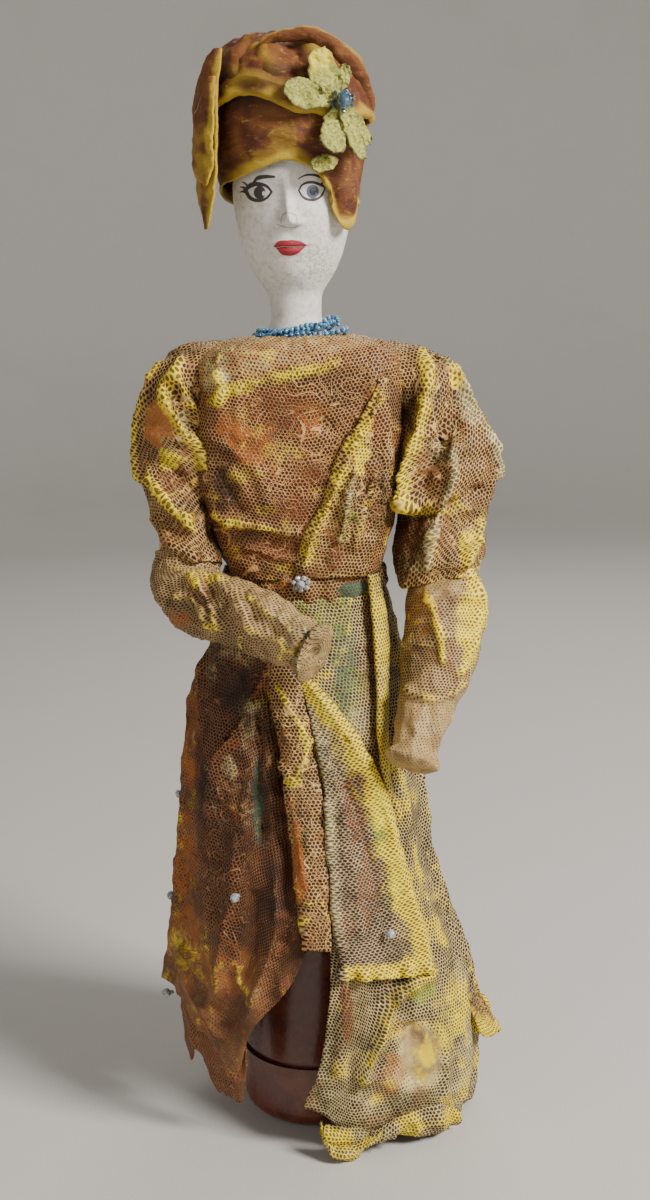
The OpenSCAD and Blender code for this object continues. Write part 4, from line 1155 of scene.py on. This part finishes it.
def make_head():
    z = np.concatenate([np.linspace(347.9, 319, 26), np.linspace(318, 287, 150),
                        np.linspace(286.5, 256.4, 44)])[:, None]
    turn = np.concatenate([np.linspace(-180, -62, 30, endpoint=False),
                           np.linspace(-62, 62, 190, endpoint=False),
                           np.linspace(62, 180, 30, endpoint=False)])
    a = np.radians(turn)[None, :]
    r = curve(HEAD, z)
    x, y = r * np.sin(a), -r * np.cos(a)
    g = Grid(np.stack([x, y, z + 0 * x], 2), closed=True)
    front = smooth(0.1, 0.6, np.cos(a))
    x, z = g.p[..., 0].copy(), g.p[..., 2].copy()
    lift = 0.5 * hump(x, z, (-1.5, 315), (9, 3)) + 0.5 * hump(x, z, (-0.4, 284.5), (5, 3.5))
    for ex, ez in EYES:
        lift += -1.3 * hump(x, z, (ex, ez), (6, 3.6)) + 0.8 * hump(x, z, (ex, ez), (4, 2.3))
    bridge = -1.4 + 0.6 * (309 - z) / 8
    rise = curve([(298.8, 0), (299.6, 1.6), (300.6, 3.2), (302, 3.6), (304.5, 2.6), (308, 1.4),
                  (312, 0.7), (316, 0)], z)
    lift += rise * np.exp(-((x - bridge) / curve([(299, 2.6), (302, 1.9), (312, 1.6)], z)) ** 2)
    lift += (0.9 * hump(x, z, (-3.5, 300.6), (1.3, 1.1))
             + 0.9 * hump(x, z, (1.7, 300.6), (1.3, 1.1)))
    lift += (0.9 * hump(x, z, (-1.0, 293.9), (4.4, 1.1))
             + 0.9 * hump(x, z, (-1.0, 291.8), (3.4, 1.1)))
    lift -= (0.5 * hump(x, z, (-1.0, 293.1), (4.6, 0.4))
             + 0.4 * hump(x, z, (-1.0, 297.6), (1.4, 1.6)))
    g.push(lift * front)
    g.push(0.22 * lumps(g.p, 5, 3)
           + 0.1 * lumps(g.p, 1.6, 4) * smooth(-6, 10, x) * smooth(300, 284, z))

    ink = [
        brush_stroke(x, z, [(-14.9, 310.9), (-12.9, 312.1), (-10.2, 312.3), (-7.7, 311.4),
                            (-6.3, 309.7)], [0.5, 0.75, 0.6, 0.45, 0.3]),
        brush_stroke(x, z, [(-14.9, 310.9), (-13.4, 308.4), (-10.4, 307.3), (-7.8, 308.0),
                            (-6.3, 309.7)], [0.6, 0.55, 0.5, 0.35, 0.3]),
        brush_stroke(x, z, [(-14.4, 311.2), (-15.6, 311.8), (-16.4, 312.0)], [0.4, 0.3, 0.1]),
        brush_stroke(x, z, [(-14.7, 310.2), (-15.8, 310.5), (-16.6, 310.4)], [0.4, 0.3, 0.1]),
        brush_stroke(x, z, [(-13.8, 311.8), (-14.8, 312.9), (-15.6, 313.4)], [0.35, 0.25, 0.1]),
        brush_stroke(x, z, [(-11.9, 312.9), (-10.4, 314.0), (-8.0, 314.3), (-5.0, 314.1)],
                     [0.25, 0.6, 0.55, 0.3]),
        brush_stroke(x, z, [(2.3, 309.8), (3.4, 311.4), (6.6, 312.2), (9.2, 311.5), (10.9, 310.7)],
                     [0.25, 0.3, 0.42, 0.4, 0.3]),
        brush_stroke(x, z, [(2.3, 309.8), (3.6, 307.8), (6.4, 306.9), (9.0, 307.7), (10.9, 310.7)],
                     [0.25, 0.35, 0.42, 0.3, 0.2]),
        brush_stroke(x, z, [(10.2, 311.1), (11.6, 311.6), (12.6, 312.2)], [0.3, 0.2, 0.08]),
        brush_stroke(x, z, [(9.4, 311.6), (10.6, 312.6), (11.2, 313.0)], [0.25, 0.2, 0.08]),
        brush_stroke(x, z, [(2.2, 313.2), (4.2, 314.2), (6.8, 314.4), (9.4, 313.7), (11.8, 312.3)],
                     [0.12, 0.28, 0.36, 0.34, 0.18]),
        oval(x, z, (-10.1, 309.7), (1.9, 1.95)), oval(x, z, (6.8, 309.5), (1.15, 1.25)),
    ]
    ink = np.max(ink, 0)
    glint = np.maximum(oval(x, z, (-8.7, 309.3), (0.55, 0.8)),
                       oval(x, z, (7.5, 310.1), (0.35, 0.35)))
    ink = np.minimum(ink, -glint)
    iris = oval(x, z, (6.7, 309.4), (1.95, 2.05))
    fine = np.max([
        brush_stroke(x, z, [(-3.3, 300.5), (-3.0, 302.4), (-1.0, 303.4), (0.9, 302.5),
                            (1.3, 300.5)],
                     [0.14, 0.16, 0.12, 0.16, 0.14]),
        brush_stroke(x, z, [(-4.8, 300.0), (-3.2, 299.4), (-0.6, 298.9), (1.6, 299.4),
                            (3.0, 300.0)],
                     [0.1, 0.24, 0.2, 0.24, 0.1]),
        brush_stroke(x, z, [(-0.9, 302.4), (-0.9, 301.0)], [0.1, 0.14]),
    ], 0)
    lips = np.max([
        brush_stroke(x, z, [(-6.0, 293.3), (-4.0, 294.2), (-2.4, 294.3)], [0.15, 0.8, 0.8]),
        brush_stroke(x, z, [(-2.6, 294.2), (0.2, 294.2), (2.2, 294.0), (4.2, 293.3)],
                     [0.75, 0.95, 0.7, 0.15]),
        brush_stroke(x, z, [(-5.0, 292.8), (-2.6, 291.9), (-0.4, 291.7), (1.6, 292.2),
                            (3.4, 292.9)],
                     [0.2, 1.2, 1.25, 0.9, 0.2]),
    ], 0)
    mouth_line = brush_stroke(x, z, [(-5.6, 293.2), (-2.8, 293.1), (-0.8, 292.9), (1.4, 293.1),
                                     (3.9, 293.2)], [0.1, 0.2, 0.2, 0.2, 0.1])
    away = np.where(front > 0.5, 0, -5)
    verts, faces, uv = g.solid_surface()
    fields = np.stack([f + away for f in (ink, iris, lips, np.maximum(mouth_line, -9))], 2)
    extra = np.stack([fine + away, hump(x, z, (8, 288), (9, 9)) * front,
                      smooth(300, 318, z), 0 * x], 2)
    return mesh_object("head_painted", verts, faces, uv,
                       {"face_a": fields.reshape(-1, 4), "face_b": extra.reshape(-1, 4)})


def face_material():
    s = Shader("painted_face")
    place = s.place()

    def field(name, index):
        made = s.tree.nodes.new("ShaderNodeAttribute")
        made.attribute_name = name
        if index == 3:
            return made.outputs["Alpha"]
        return s.node("SeparateColor", made.outputs["Color"], out=index)
    rough = s.noise(place, 0.55, 5, 0.68)
    fine = s.noise(place, 2.4, 4, 0.65)
    flakes = s.noise(place, 1.1, 5, 0.7, 0.5)
    worn = s.math("ADD", s.math("MULTIPLY", field("face_b", 1), 0.2), flakes)
    colour = s.mix(s.step(rough, 0.42, 0.7), (0.76, 0.74, 0.69), (0.60, 0.56, 0.48))
    colour = s.mix(s.math("MULTIPLY", s.step(worn, 0.62, 0.74), 0.7), colour, (0.40, 0.36, 0.29))
    colour = s.mix(s.step(fine, 0.64, 0.78, 0, 0.4), colour, (0.30, 0.26, 0.20))
    colour = s.mix(s.step(field("face_a", 2), -0.1, 0.06), colour, (0.33, 0.012, 0.024))
    colour = s.mix(s.step(field("face_a", 3), -0.12, 0.1, 0, 0.75), colour, (0.10, 0.008, 0.012))
    colour = s.mix(s.step(field("face_b", 0), -0.14, 0.1, 0, 0.7), colour, (0.16, 0.15, 0.14))
    colour = s.mix(s.step(field("face_a", 1), -0.1, 0.06), colour, (0.075, 0.10, 0.15))
    colour = s.mix(s.step(field("face_a", 0), -0.1, 0.05, 0, 0.97), colour, (0.012, 0.012, 0.016))
    s.put(s.surface["Base Color"], colour)
    s.put(s.surface["Roughness"], s.step(rough, 0.35, 0.7, 0.34, 0.6))
    height = s.math("ADD", s.math("MULTIPLY", flakes, 0.8), s.math("MULTIPLY", fine, 0.5))
    s.bump(height, 0.34, 0.9)
    return s.material


finish_piece(make_head(), face_material(), "head", "painted_face", "head")

# ---- Turban ----


def ring_grid(z_low, z_high, radius, rows, start=-180, stop=180, cols=220, centre=(-0.8, 0.4)):
    """A band round the head. z_low, z_high are tables of (angle, z), radius one of (share, mm)."""
    closed = stop - start >= 360
    turn = np.linspace(start, stop, cols, endpoint=not closed)[None, :]
    v = np.linspace(0, 1, rows)[:, None]
    z = curve(z_high, turn) * (1 - v) + curve(z_low, turn) * v
    r = curve(radius, v) + 0 * z
    a = np.radians(turn)
    return Grid(np.stack([centre[0] + r * np.sin(a), centre[1] - r * np.cos(a), z], 2), closed)


def make_turban_band():
    low = [(-180, 306), (-120, 308), (-92, 311), (-72, 312.6), (-52, 313.2), (-35, 315.2),
           (-18, 317.2), (-4, 318.8), (11, 317.6), (24, 314.4), (34, 310.8), (40, 306),
           (44, 300.6), (50, 298.4), (58, 299.6), (68, 303), (80, 305), (110, 306), (180, 306)]
    high = [(-180, 342), (180, 342)]
    g = ring_grid(low, high, [(0, 23.6), (0.3, 24.2), (0.75, 23.4), (1, 21.6)], 90)
    a = np.degrees(np.arctan2(g.p[..., 0] + 0.8, -g.p[..., 1]))
    edge = g.p[..., 2] - curve(low, a)
    g.push(0.7 * np.exp(-((edge - 0.8) / 1.0) ** 2))
    g.push(-1.6 * hump(a, g.p[..., 2], (-62, 308), (16, 8)))
    g.push(-1.2 * hump(a, g.p[..., 2], (39, 306), (7, 12))
           + 1.6 * hump(a, g.p[..., 2], (56, 306), (10, 9)))
    g.fold([(-21, 332), (-8, 329), (4, 326), (14, 324)], 0.8, 4)
    g.fold([(-20, 322), (-6, 326), (8, 323)], 0.6, 3)
    g.crumple(11, 0.8, 201).crumple(4, 0.2, 203)
    g.brush("gold", 0.95 * smooth(4.2, 0.6, edge + 1.6 * lumps(g.p, 4, 5)))
    g.blotch("gold", 0.3, 5, 6, 0.25, 0.6, smooth(14, 5, edge))
    # Painted shade: darker at the top, under the wrap, and on the side of the tail
    g.brush("dark", 0.8 * smooth(332, 337, g.p[..., 2]) + 0.35 * smooth(-14, -21, g.p[..., 0]))
    return g


def make_turban_wrap():
    low = [(-180, 333), (-100, 331), (-70, 333), (-53, 335.6), (-42, 336.8), (-24, 337.4),
           (-10, 335.8), (4, 332.6), (21, 331.6), (45, 331.4), (73, 331.8), (110, 331), (180, 333)]
    high = [(-180, 352), (-90, 347), (-60, 345), (-52, 346), (-40, 349.6), (-23, 353.4),
            (-9, 351.4), (5, 348.8), (13, 349.6), (21, 350.4), (40, 350), (70, 347),
            (110, 348), (180, 352)]
    radius = [(0, 19.5), (0.16, 22.6), (0.4, 25.2), (0.7, 26.6), (0.9, 26.6), (1, 25.6)]
    g = ring_grid(low, high, radius, 60)
    a = np.degrees(np.arctan2(g.p[..., 0] + 0.8, -g.p[..., 1]))
    edge = g.p[..., 2] - curve(low, a)
    top = curve(high, a) - g.p[..., 2]
    g.push(1.0 * np.exp(-((edge - 1.2) / 1.3) ** 2) + 0.9 * np.exp(-((top - 1) / 1.2) ** 2))
    g.fold([(-21, 339), (-14, 343), (-5, 341), (4, 337)], 1.0, 3, "ridge", "gold", 2.4, 0.8)
    g.fold([(-19, 347), (-12, 348), (-4, 345), (3, 340)], 0.8, 3)
    g.crumple(9, 1.0, 211).crumple(4, 0.3, 213)
    g.brush("gold", 0.85 * smooth(4.6, 1.0, edge + 1.8 * lumps(g.p, 4, 7)))
    g.brush("gold", 0.7 * smooth(1.8, 0.3, top + 0.8 * lumps(g.p, 3, 8)))
    g.blotch("orange", 0.5, 9, 9, -0.1, 0.5, smooth(3, 8, edge))
    return g


def make_turban_crown():
    rows, cols = 60, 180
    v = np.linspace(0.004, 1, rows)[:, None]
    a = np.linspace(-math.pi, math.pi, cols, endpoint=False)[None, :]
    r = 24.6 * np.sin(v * math.pi / 2) ** 0.92
    z = 343 + 15.8 * np.cos(v * math.pi / 2) ** 0.85 - 1.2 * np.cos(a) * v
    x = -1.6 + r * np.sin(a) + 1.5 * (1 - v)
    g = Grid(np.stack([x, 0.5 - r * np.cos(a), z], 2), closed=True)
    for turn, depth in ((-70, 1.2), (-32, 1.6), (-6, 1.8), (17, -1.8), (32, 1.6), (58, -1.4),
                        (95, 1.4), (130, -1.2), (165, 1.5), (-105, -1.2), (-140, 1.3)):
        d = np.degrees(a) + 22 * (1 - v) - turn
        g.push(depth * np.exp(-((d + 180) % 360 - 180) ** 2 / 90) * smooth(0.05, 0.5, v))
        if depth > 1.3:
            g.brush("gold", 0.6 * np.exp(-(((d + 180) % 360 - 180) / 5) ** 2)
                    * smooth(-0.4, 0.3, lumps(g.p, 6, 2)))
    g.crumple(8, 1.2, 221).crumple(3.6, 0.35, 223)
    g.blotch("orange", 0.45, 10, 3, -0.2, 0.5)
    # Painted shade: darker at the bottom, where the crown goes under the wrap
    g.brush("dark", 0.8 * smooth(348, 343, z + 0 * x))
    return g


def make_turban_roll():
    """The rolled edge that comes over the top and down the left side."""
    g = tube([(-8, -20, 352), (-2, -21.4, 354.6), (6, -21, 355.2), (12.5, -18.5, 352.6),
              (18.4, -14, 348.6), (22.4, -8, 344.2), (24.4, -3, 339.4), (24.8, 0, 333),
              (24, 1, 329)],
             [(0.8, 0.6), (1.8, 1.0), (2.4, 1.2), (2.6, 1.3), (2.6, 1.3), (2.4, 1.3), (2.2, 1.2),
              (1.8, 1.1), (0.5, 0.5)], 90, 30, side=(0.2, -0.6, 1))
    g.crumple(5, 0.8, 231)
    n = g.normals()
    # Gold paint laid on the upward-facing side, partly a painted highlight; the underside is
    # darkened as painted shade
    g.brush("gold", 0.9 * smooth(0.1, 0.8, n[..., 2]) * smooth(-0.6, 0.2, lumps(g.p, 5, 4)))
    g.brush("orange", 0.5).brush("dark", 0.5 * smooth(-0.2, -0.8, n[..., 2]))
    return g


def make_turban_tail(left, right, top, tip, out, seed):
    """A strip of cloth that hangs from the turban to a point. left, right are (z, angle) tables."""
    v, u = shares(80, 26)
    z = top + (tip - top) * v + 0 * u
    a = np.radians(curve(left, z) * (1 - u) + curve(right, z) * u)
    bow = np.sin(math.pi * u) * (1 - 0.6 * v)
    r = 25.6 + out + 1.6 * bow + 1.2 * smooth(0, 0.3, v)
    g = Grid(np.stack([-0.8 + r * np.sin(a), 0.4 - r * np.cos(a), z], 2))
    g.crumple(7, 1.0, seed).crumple(3.5, 0.3, seed + 2)
    rim = np.minimum(u, 1 - u) * 9
    g.brush("gold", 0.95 * smooth(2.2, 0.4, rim + 0 * v + 1.0 * lumps(g.p, 3, seed)))
    g.blotch("orange", 0.5, 7, seed + 1, -0.3, 0.4)
    g.brush("gold", 0.5 * smooth(0.3, 0.7, v + 0 * u) * smooth(-0.3, 0.4, lumps(g.p, 4, seed + 5)))
    return g


def varnished(name, base, glaze, gold):
    """Thin varnished cloth, brushed with paint."""
    s = Shader(name)
    place = s.place()
    blots = s.noise(place, 0.11, 5, 0.6, 0.7)
    streaks = s.noise(s.vector("MULTIPLY", place, (1, 1, 2.2)), 0.32, 4, 0.65, 0.5)
    grain = s.noise(place, 1.8, 4, 0.65)
    colour = s.mix(s.step(blots, 0.44, 0.66), base, glaze)
    colour = s.mix(s.step(streaks, 0.56, 0.72, 0, 0.5), colour, gold)
    colour = s.mix(s.step(grain, 0.5, 0.72, 0, 0.35), colour, [c * 0.4 for c in base])
    # dark is painted shade under the turban's overlapping layers and under its roll
    for key, tone, strength in (("orange", (0.32, 0.115, 0.018), 0.65), ("gold", gold, 0.95),
                                ("dark", (0.022, 0.008, 0.005), 0.9)):
        worn = s.math("MULTIPLY", s.paint(key), s.step(grain, 0.25, 0.5, 0.6, strength))
        colour = s.mix(worn, colour, tone)
    s.put(s.surface["Base Color"], colour)
    s.put(s.surface["Roughness"], s.step(streaks, 0.35, 0.7, 0.5, 0.7))
    s.surface["Coat Weight"].default_value = 0.02
    s.surface["Coat Roughness"].default_value = 0.4
    s.surface["Specular IOR Level"].default_value = 0.3
    fine = s.noise(place, 3.4, 3, 0.6)
    height = s.math("ADD", s.math("MULTIPLY", streaks, 1.6), s.math("MULTIPLY", fine, 0.8))
    s.bump(height, 0.45, 0.9)
    return s.material


def petal_material():
    s = Shader("petal_paper")
    place = s.place()
    veins = s.noise(place, 1.15, 5, 0.7, 1.0)
    specks = s.noise(s.vector("ADD", place, (9, 4, 2)), 1.5, 4, 0.7)
    colour = s.mix(s.step(veins, 0.4, 0.62), (0.60, 0.57, 0.13), (0.27, 0.31, 0.045))
    colour = s.mix(s.step(specks, 0.52, 0.64, 0, 0.85), colour, (0.14, 0.085, 0.03))
    colour = s.mix(s.math("MULTIPLY", s.paint("gold"), s.step(veins, 0.3, 0.5, 0.6, 1.0)), colour,
                   (0.80, 0.66, 0.05))
    colour = s.mix(s.math("MULTIPLY", s.paint("dark"), 0.7), colour, (0.10, 0.07, 0.03))
    s.put(s.surface["Base Color"], colour)
    s.surface["Roughness"].default_value = 0.55
    s.bump(s.math("ADD", veins, s.math("MULTIPLY", specks, 0.8)), 0.5, 0.9)
    return s.material


FLOWER = np.array((14.6, -23.6, 335.0))
FLOWER_OUT = np.array((0.53, -0.84, 0.06))


def make_petal(direction, length, width, lift, seed, centre=FLOWER, out=FLOWER_OUT, start=0.5):
    """A crumpled petal that lies against the turban's curve. direction is in degrees from +X."""
    rows, cols = 34, 22
    s = np.linspace(0, 1, rows)[:, None]
    w = np.linspace(-1, 1, cols)[None, :]
    out = out / np.linalg.norm(out)
    across = np.cross((0, 0, 1), out)
    across /= np.linalg.norm(across)
    up = np.cross(out, across)
    shape = [(0, 0.34), (0.25, 0.7), (0.6, 1.0), (0.85, 0.86), (0.96, 0.5), (1, 0.2)]
    half = width / 2 * curve(shape, s)
    rim = np.stack([s * 6 + 0 * w, 3 * np.sign(w) + 0 * s, 0 * s * w + seed], 2)
    ragged = 1 + 0.24 * lumps(rim, 1, seed)
    along, sideways = start + (length - start) * s + 0 * w, half * w * ragged
    t = math.radians(direction)
    px = along * math.cos(t) - sideways * math.sin(t)
    pz = along * math.sin(t) + sideways * math.cos(t)
    away = lift + 0.5 + 1.2 * s**2 - 0.7 * (1 - w**2) * np.sin(math.pi * s) - px**2 / 58
    p = centre + px[..., None] * across + pz[..., None] * up + away[..., None] * out
    if np.cross(p[-1, 0] - p[0, 0], p[rows // 2, -1] - p[rows // 2, 0]) @ out < 0:
        p = p[:, ::-1]
    g = Grid(p)
    g.crumple(3.4, 1.7, seed).crumple(1.7, 0.7, seed + 1)
    g.brush("dark", 0.9 * smooth(0.8, 1.0, np.abs(w) + 0.25 * lumps(g.p, 2.5, seed)) * (s > 0)
            + 0.5 * smooth(0.2, 0, s + 0 * w) + 0.8 * smooth(0.95, 1, s + 0 * w))
    return g


def make_bead(centre, radius, tall, sides, rings, axis=(0, 0, 1)):
    """Points and faces of a cut bead."""
    axis = np.array(axis, float) / np.linalg.norm(axis)
    side = np.cross(axis, (0.3, 0.9, 0.2))
    side /= np.linalg.norm(side)
    front = np.cross(axis, side)
    verts, faces = [], []
    for j in range(rings + 1):
        lat = math.pi * (0.12 + 0.76 * j / rings)
        for i in range(sides):
            t = 2 * math.pi * (i + 0.5 * (j % 2)) / sides
            verts.append(np.array(centre) + radius * math.sin(lat)
                         * (math.cos(t) * side + math.sin(t) * front) - tall * math.cos(lat) * axis)
    for j in range(rings):
        for i in range(sides):
            a, b = j * sides + i, j * sides + (i + 1) % sides
            c, d = a + sides, b + sides
            faces += [(a, b, c), (b, d, c)] if j % 2 == 0 else [(a, b, d), (a, d, c)]
    faces.append(tuple(range(sides))[::-1])
    faces.append(tuple(rings * sides + i for i in range(sides)))
    return verts, faces


def join(parts):
    """One list of points and one of faces from several."""
    verts, faces = [], []
    for part_verts, part_faces in parts:
        faces += [tuple(len(verts) + i for i in face) for face in part_faces]
        verts += list(part_verts)
    return verts, faces


def facet(obj):
    """Flat faces, as on cut glass."""
    for face in obj.data.polygons:
        face.use_smooth = False


def glass(name, colours, scale, clear=0.0, grain=0.8):
    s = Shader(name)
    place = s.place()
    tone = s.noise(place, scale, 3, 0.6)
    colour = s.mix(s.step(tone, 0.4, 0.52), colours[0], colours[1])
    colour = s.mix(s.step(s.noise(place, scale * 2.3, 2), 0.56, 0.64), colour, colours[2])
    s.put(s.surface["Base Color"], colour)
    s.put(s.surface["Roughness"], s.step(tone, 0.3, 0.7, 0.05, 0.22))
    s.surface["Coat Weight"].default_value = 0.8
    s.surface["Coat Roughness"].default_value = 0.05
    s.surface["Transmission Weight"].default_value = clear
    s.bump(s.noise(place, grain, 2), 0.08, 0.5)
    return s.material


def make_flower_bead():
    parts = [make_bead(FLOWER + FLOWER_OUT * 4.2, 2.3, 3.0, 8, 4, (0.1, 0.1, 1))]
    for k in range(9):
        t = 2 * math.pi * k / 9 + 0.3 * math.sin(5 * k)
        tip = np.array((math.cos(t), 0.2, math.sin(t))) * 3.1 + FLOWER + FLOWER_OUT * 3.2
        parts.append(make_bead(tip, 0.6, 0.9, 6, 3, tip - FLOWER))
    return join(parts)


def make_strand(path, beads, radius, seed):
    """Seed beads along a path."""
    line = spline(path, beads * 3)
    parts = []
    for k in range(beads):
        here, ahead = line[min(3 * k + 1, len(line) - 1)], line[min(3 * k + 2, len(line) - 1)]
        wobble = 0.12 * math.sin(7.1 * k + seed)
        size = radius * (1 + 0.14 * math.sin(12.9 * k + 3 * seed))
        parts.append(make_bead(here + (0, 0, wobble), size, size * 0.86, 8, 4,
                               ahead - here + (0, 0, 1e-4)))
    return join(parts)


def ring_path(radius, tilt, z, loops, bumps=0.0, steps=40, phase=0.0):
    a = np.linspace(0, 2 * math.pi * loops, steps) + phase
    r = radius + bumps * np.sin(3 * a + phase)
    height = z + tilt * np.sin(a) - 0.02 * r * np.cos(a) + 0.5 * np.sin(4 * a + phase)
    return np.stack([r * np.sin(a) - 0.5, -r * 0.98 * np.cos(a), height], 1)


TURBAN = varnished("turban_cloth", (0.11, 0.028, 0.012), (0.21, 0.075, 0.018), (0.56, 0.38, 0.03))
for name, grid, node in (
        ("turban_band_cloth", make_turban_band(), ("turban_band",)),
        ("turban_wrap_cloth", make_turban_wrap(), ("turban_wrap",)),
        ("turban_crown_cloth", make_turban_crown(), ("turban_crown",)),
        ("turban_roll_cloth", make_turban_roll(), ()),
        ("turban_tail_outer", make_turban_tail(
            [(352, -52), (344, -72), (334, -92), (325, -99), (317, -94), (308, -80), (299, -65)],
            [(352, -42), (344, -45), (335, -46), (324, -48), (310, -53), (304, -57), (299, -62)],
            352, 299.3, 2.2, 241), ("turban_tail",)),
        ("turban_tail_inner", make_turban_tail(
            [(344, -52), (336, -62), (326, -76), (318, -75), (312, -58)],
            [(344, -45), (336, -46), (326, -47.5), (318, -50), (312, -55)],
            344, 312, 4.0, 247), ())):
    finish_piece(cloth(name, grid, 0.8), TURBAN, "head", "turban_cloth", *node)

PETAL = petal_material()
for k, (direction, length, width, lift) in enumerate((
        (117, 16.5, 8.6, 0.5), (166, 17.0, 8.2, 0.0), (258, 15.5, 8.4, 0.3), (294, 18.5, 5.4, 0.9),
        (316, 16.5, 6.4, 0.2))):
    grid = make_petal(direction, length, width, lift, 301 + 7 * k)
    if k == 0:
        share = np.linspace(0, 1, len(grid.p))[:, None] + 0.1 * lumps(grid.p, 3)
        grid.brush("gold", smooth(0.45, 0.75, share))
    finish_piece(cloth(f"petal_{k + 1}", grid, 0.6), PETAL, "head", "petal_paper",
                 f"flower_petal_{k + 1}")
finish_piece(cloth("petal_6", make_petal(72, 11, 5, 0.1, 341), 0.6), PETAL, "head", "petal_paper")
leaf = make_petal(186, 9, 5, 0.2, 351, np.array((14.2, -20.4, 318.0)),
                  np.array((0.5, -0.86, 0.05)), 0)
finish_piece(cloth("leaf", leaf, 0.6), PETAL, "head", "petal_paper", "flower_leaf")
bead = mesh_object("centre_bead", *make_flower_bead())
facet(bead)
DARK = glass("dark_glass", [(0.02, 0.045, 0.08), (0.05, 0.10, 0.15), (0.2, 0.26, 0.3)], 0.5)
finish_piece(bead, DARK, "head", "dark_glass", "flower_bead")
BLUE = glass("blue_glass", [(0.035, 0.14, 0.30), (0.10, 0.28, 0.44), (0.02, 0.07, 0.18)], 0.45)
for k, path in enumerate((ring_path(11.4, 0.9, 268.0, 1, 0.5),
                          ring_path(12.8, 0.4, 266.0, 1, 0.6, phase=0.8),
                          ring_path(12.4, 1.6, 267.4, 1, 0.9, phase=2.0))):
    strand = mesh_object(f"seed_beads_{k + 1}", *make_strand(path, 44, 0.95, k))
    finish_piece(strand, BLUE, "head", "blue_glass", f"necklace_strand_{k + 1}")
loops = [[(6.5, -12, 267.6), (8.5, -12.2, 269.6), (11, -11.5, 271), (13, -9.6, 270.6),
          (13.4, -7.4, 268.6)],
         [(5.0, -13, 265.0), (9, -13.6, 265.8), (13, -12, 266.4), (15.8, -9.6, 267.4),
          (15.4, -7, 266.2)]]
for k, path in enumerate(loops):
    strand = mesh_object(f"seed_bead_loop_{k + 1}", *make_strand(path, 8, 0.95, k + 5))
    finish_piece(strand, BLUE, "head", "blue_glass")

CRYSTAL = glass("clear_glass", [(0.30, 0.33, 0.34), (0.62, 0.65, 0.66), (0.05, 0.055, 0.055)],
                0.9, 0.3)


def make_skirt_beads():
    """Cut glass beads, sewn on with a small knot."""
    parts = []
    for angle, height in ((-90, 112), (-32, 88), (30, 76), (-88, 76), (-72, 46), (150, 90),
                          (-140, 70)):
        out = 6.2 if -5 < angle < 60 else 3.2
        here = skirt_place(np.array([[angle]]), np.array([[height]]), out)[0, 0]
        away = here * (1, 1, 0) / np.linalg.norm(here[:2])
        parts.append(make_bead(here, 1.7, 1.5, 8, 4, (away[1], -away[0], 0.4)))
        parts.append(make_bead(here - away * 1.6, 0.8, 1.2, 6, 3, away))
    return join(parts)


def make_belt_cluster():
    """The small cluster of cut glass on the waistband."""
    centre = np.array((-1.0, -21.6, 187.5))
    parts = [make_bead(centre - (0, 1.2, 0), 1.5, 1.4, 8, 4, (0.2, 1, 0.2))]
    for k in range(7):
        t = 2 * math.pi * k / 7 + 0.2
        place = centre + (2.3 * math.cos(t), 0.2 * math.sin(3 * t), 2.0 * math.sin(t))
        parts.append(make_bead(place, 0.95, 0.9, 7, 4, (math.cos(t), 1, math.sin(t))))
    return join(parts)


for name, build, node in (("skirt_glass_beads", make_skirt_beads, "skirt_beads"),
                          ("belt_glass_cluster", make_belt_cluster, "belt_jewel")):
    beads = mesh_object(name, *build())
    facet(beads)
    finish_piece(beads, CRYSTAL, "stand", "clear_glass", node)

# ---- Carried-over wood ----

LACQUER = mottled("lacquer", [(0.135, 0.026, 0.012), (0.07, 0.013, 0.007), (0.19, 0.055, 0.025)],
                  0.05, (0.22, 0.42), 0.12, 0.9, coat=0.35)
WOOD = mottled("bare_wood", [(0.42, 0.25, 0.12), (0.33, 0.18, 0.08), (0.48, 0.31, 0.16)], 0.08,
               (0.55, 0.7), 0.1, 1.2, stretch=(1, 1, 0.15))
TWINE = mottled("twine", [(0.5, 0.4, 0.24), (0.4, 0.3, 0.16)], 0.4, (0.7, 0.85), 0.2, 3)
for node, material in (("foot", LACQUER), ("trunk", LACQUER), ("torso", WOOD),
                       ("central_rod", WOOD), ("shoulder_cord", TWINE), ("right_upper_arm", WOOD),
                       ("left_upper_arm", WOOD), ("right_forearm", WOOD), ("left_forearm", WOOD),
                       ("right_elbow_peg", WOOD), ("left_elbow_peg", WOOD)):
    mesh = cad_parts[node].data
    mesh.materials.clear()
    mesh.materials.append(material)
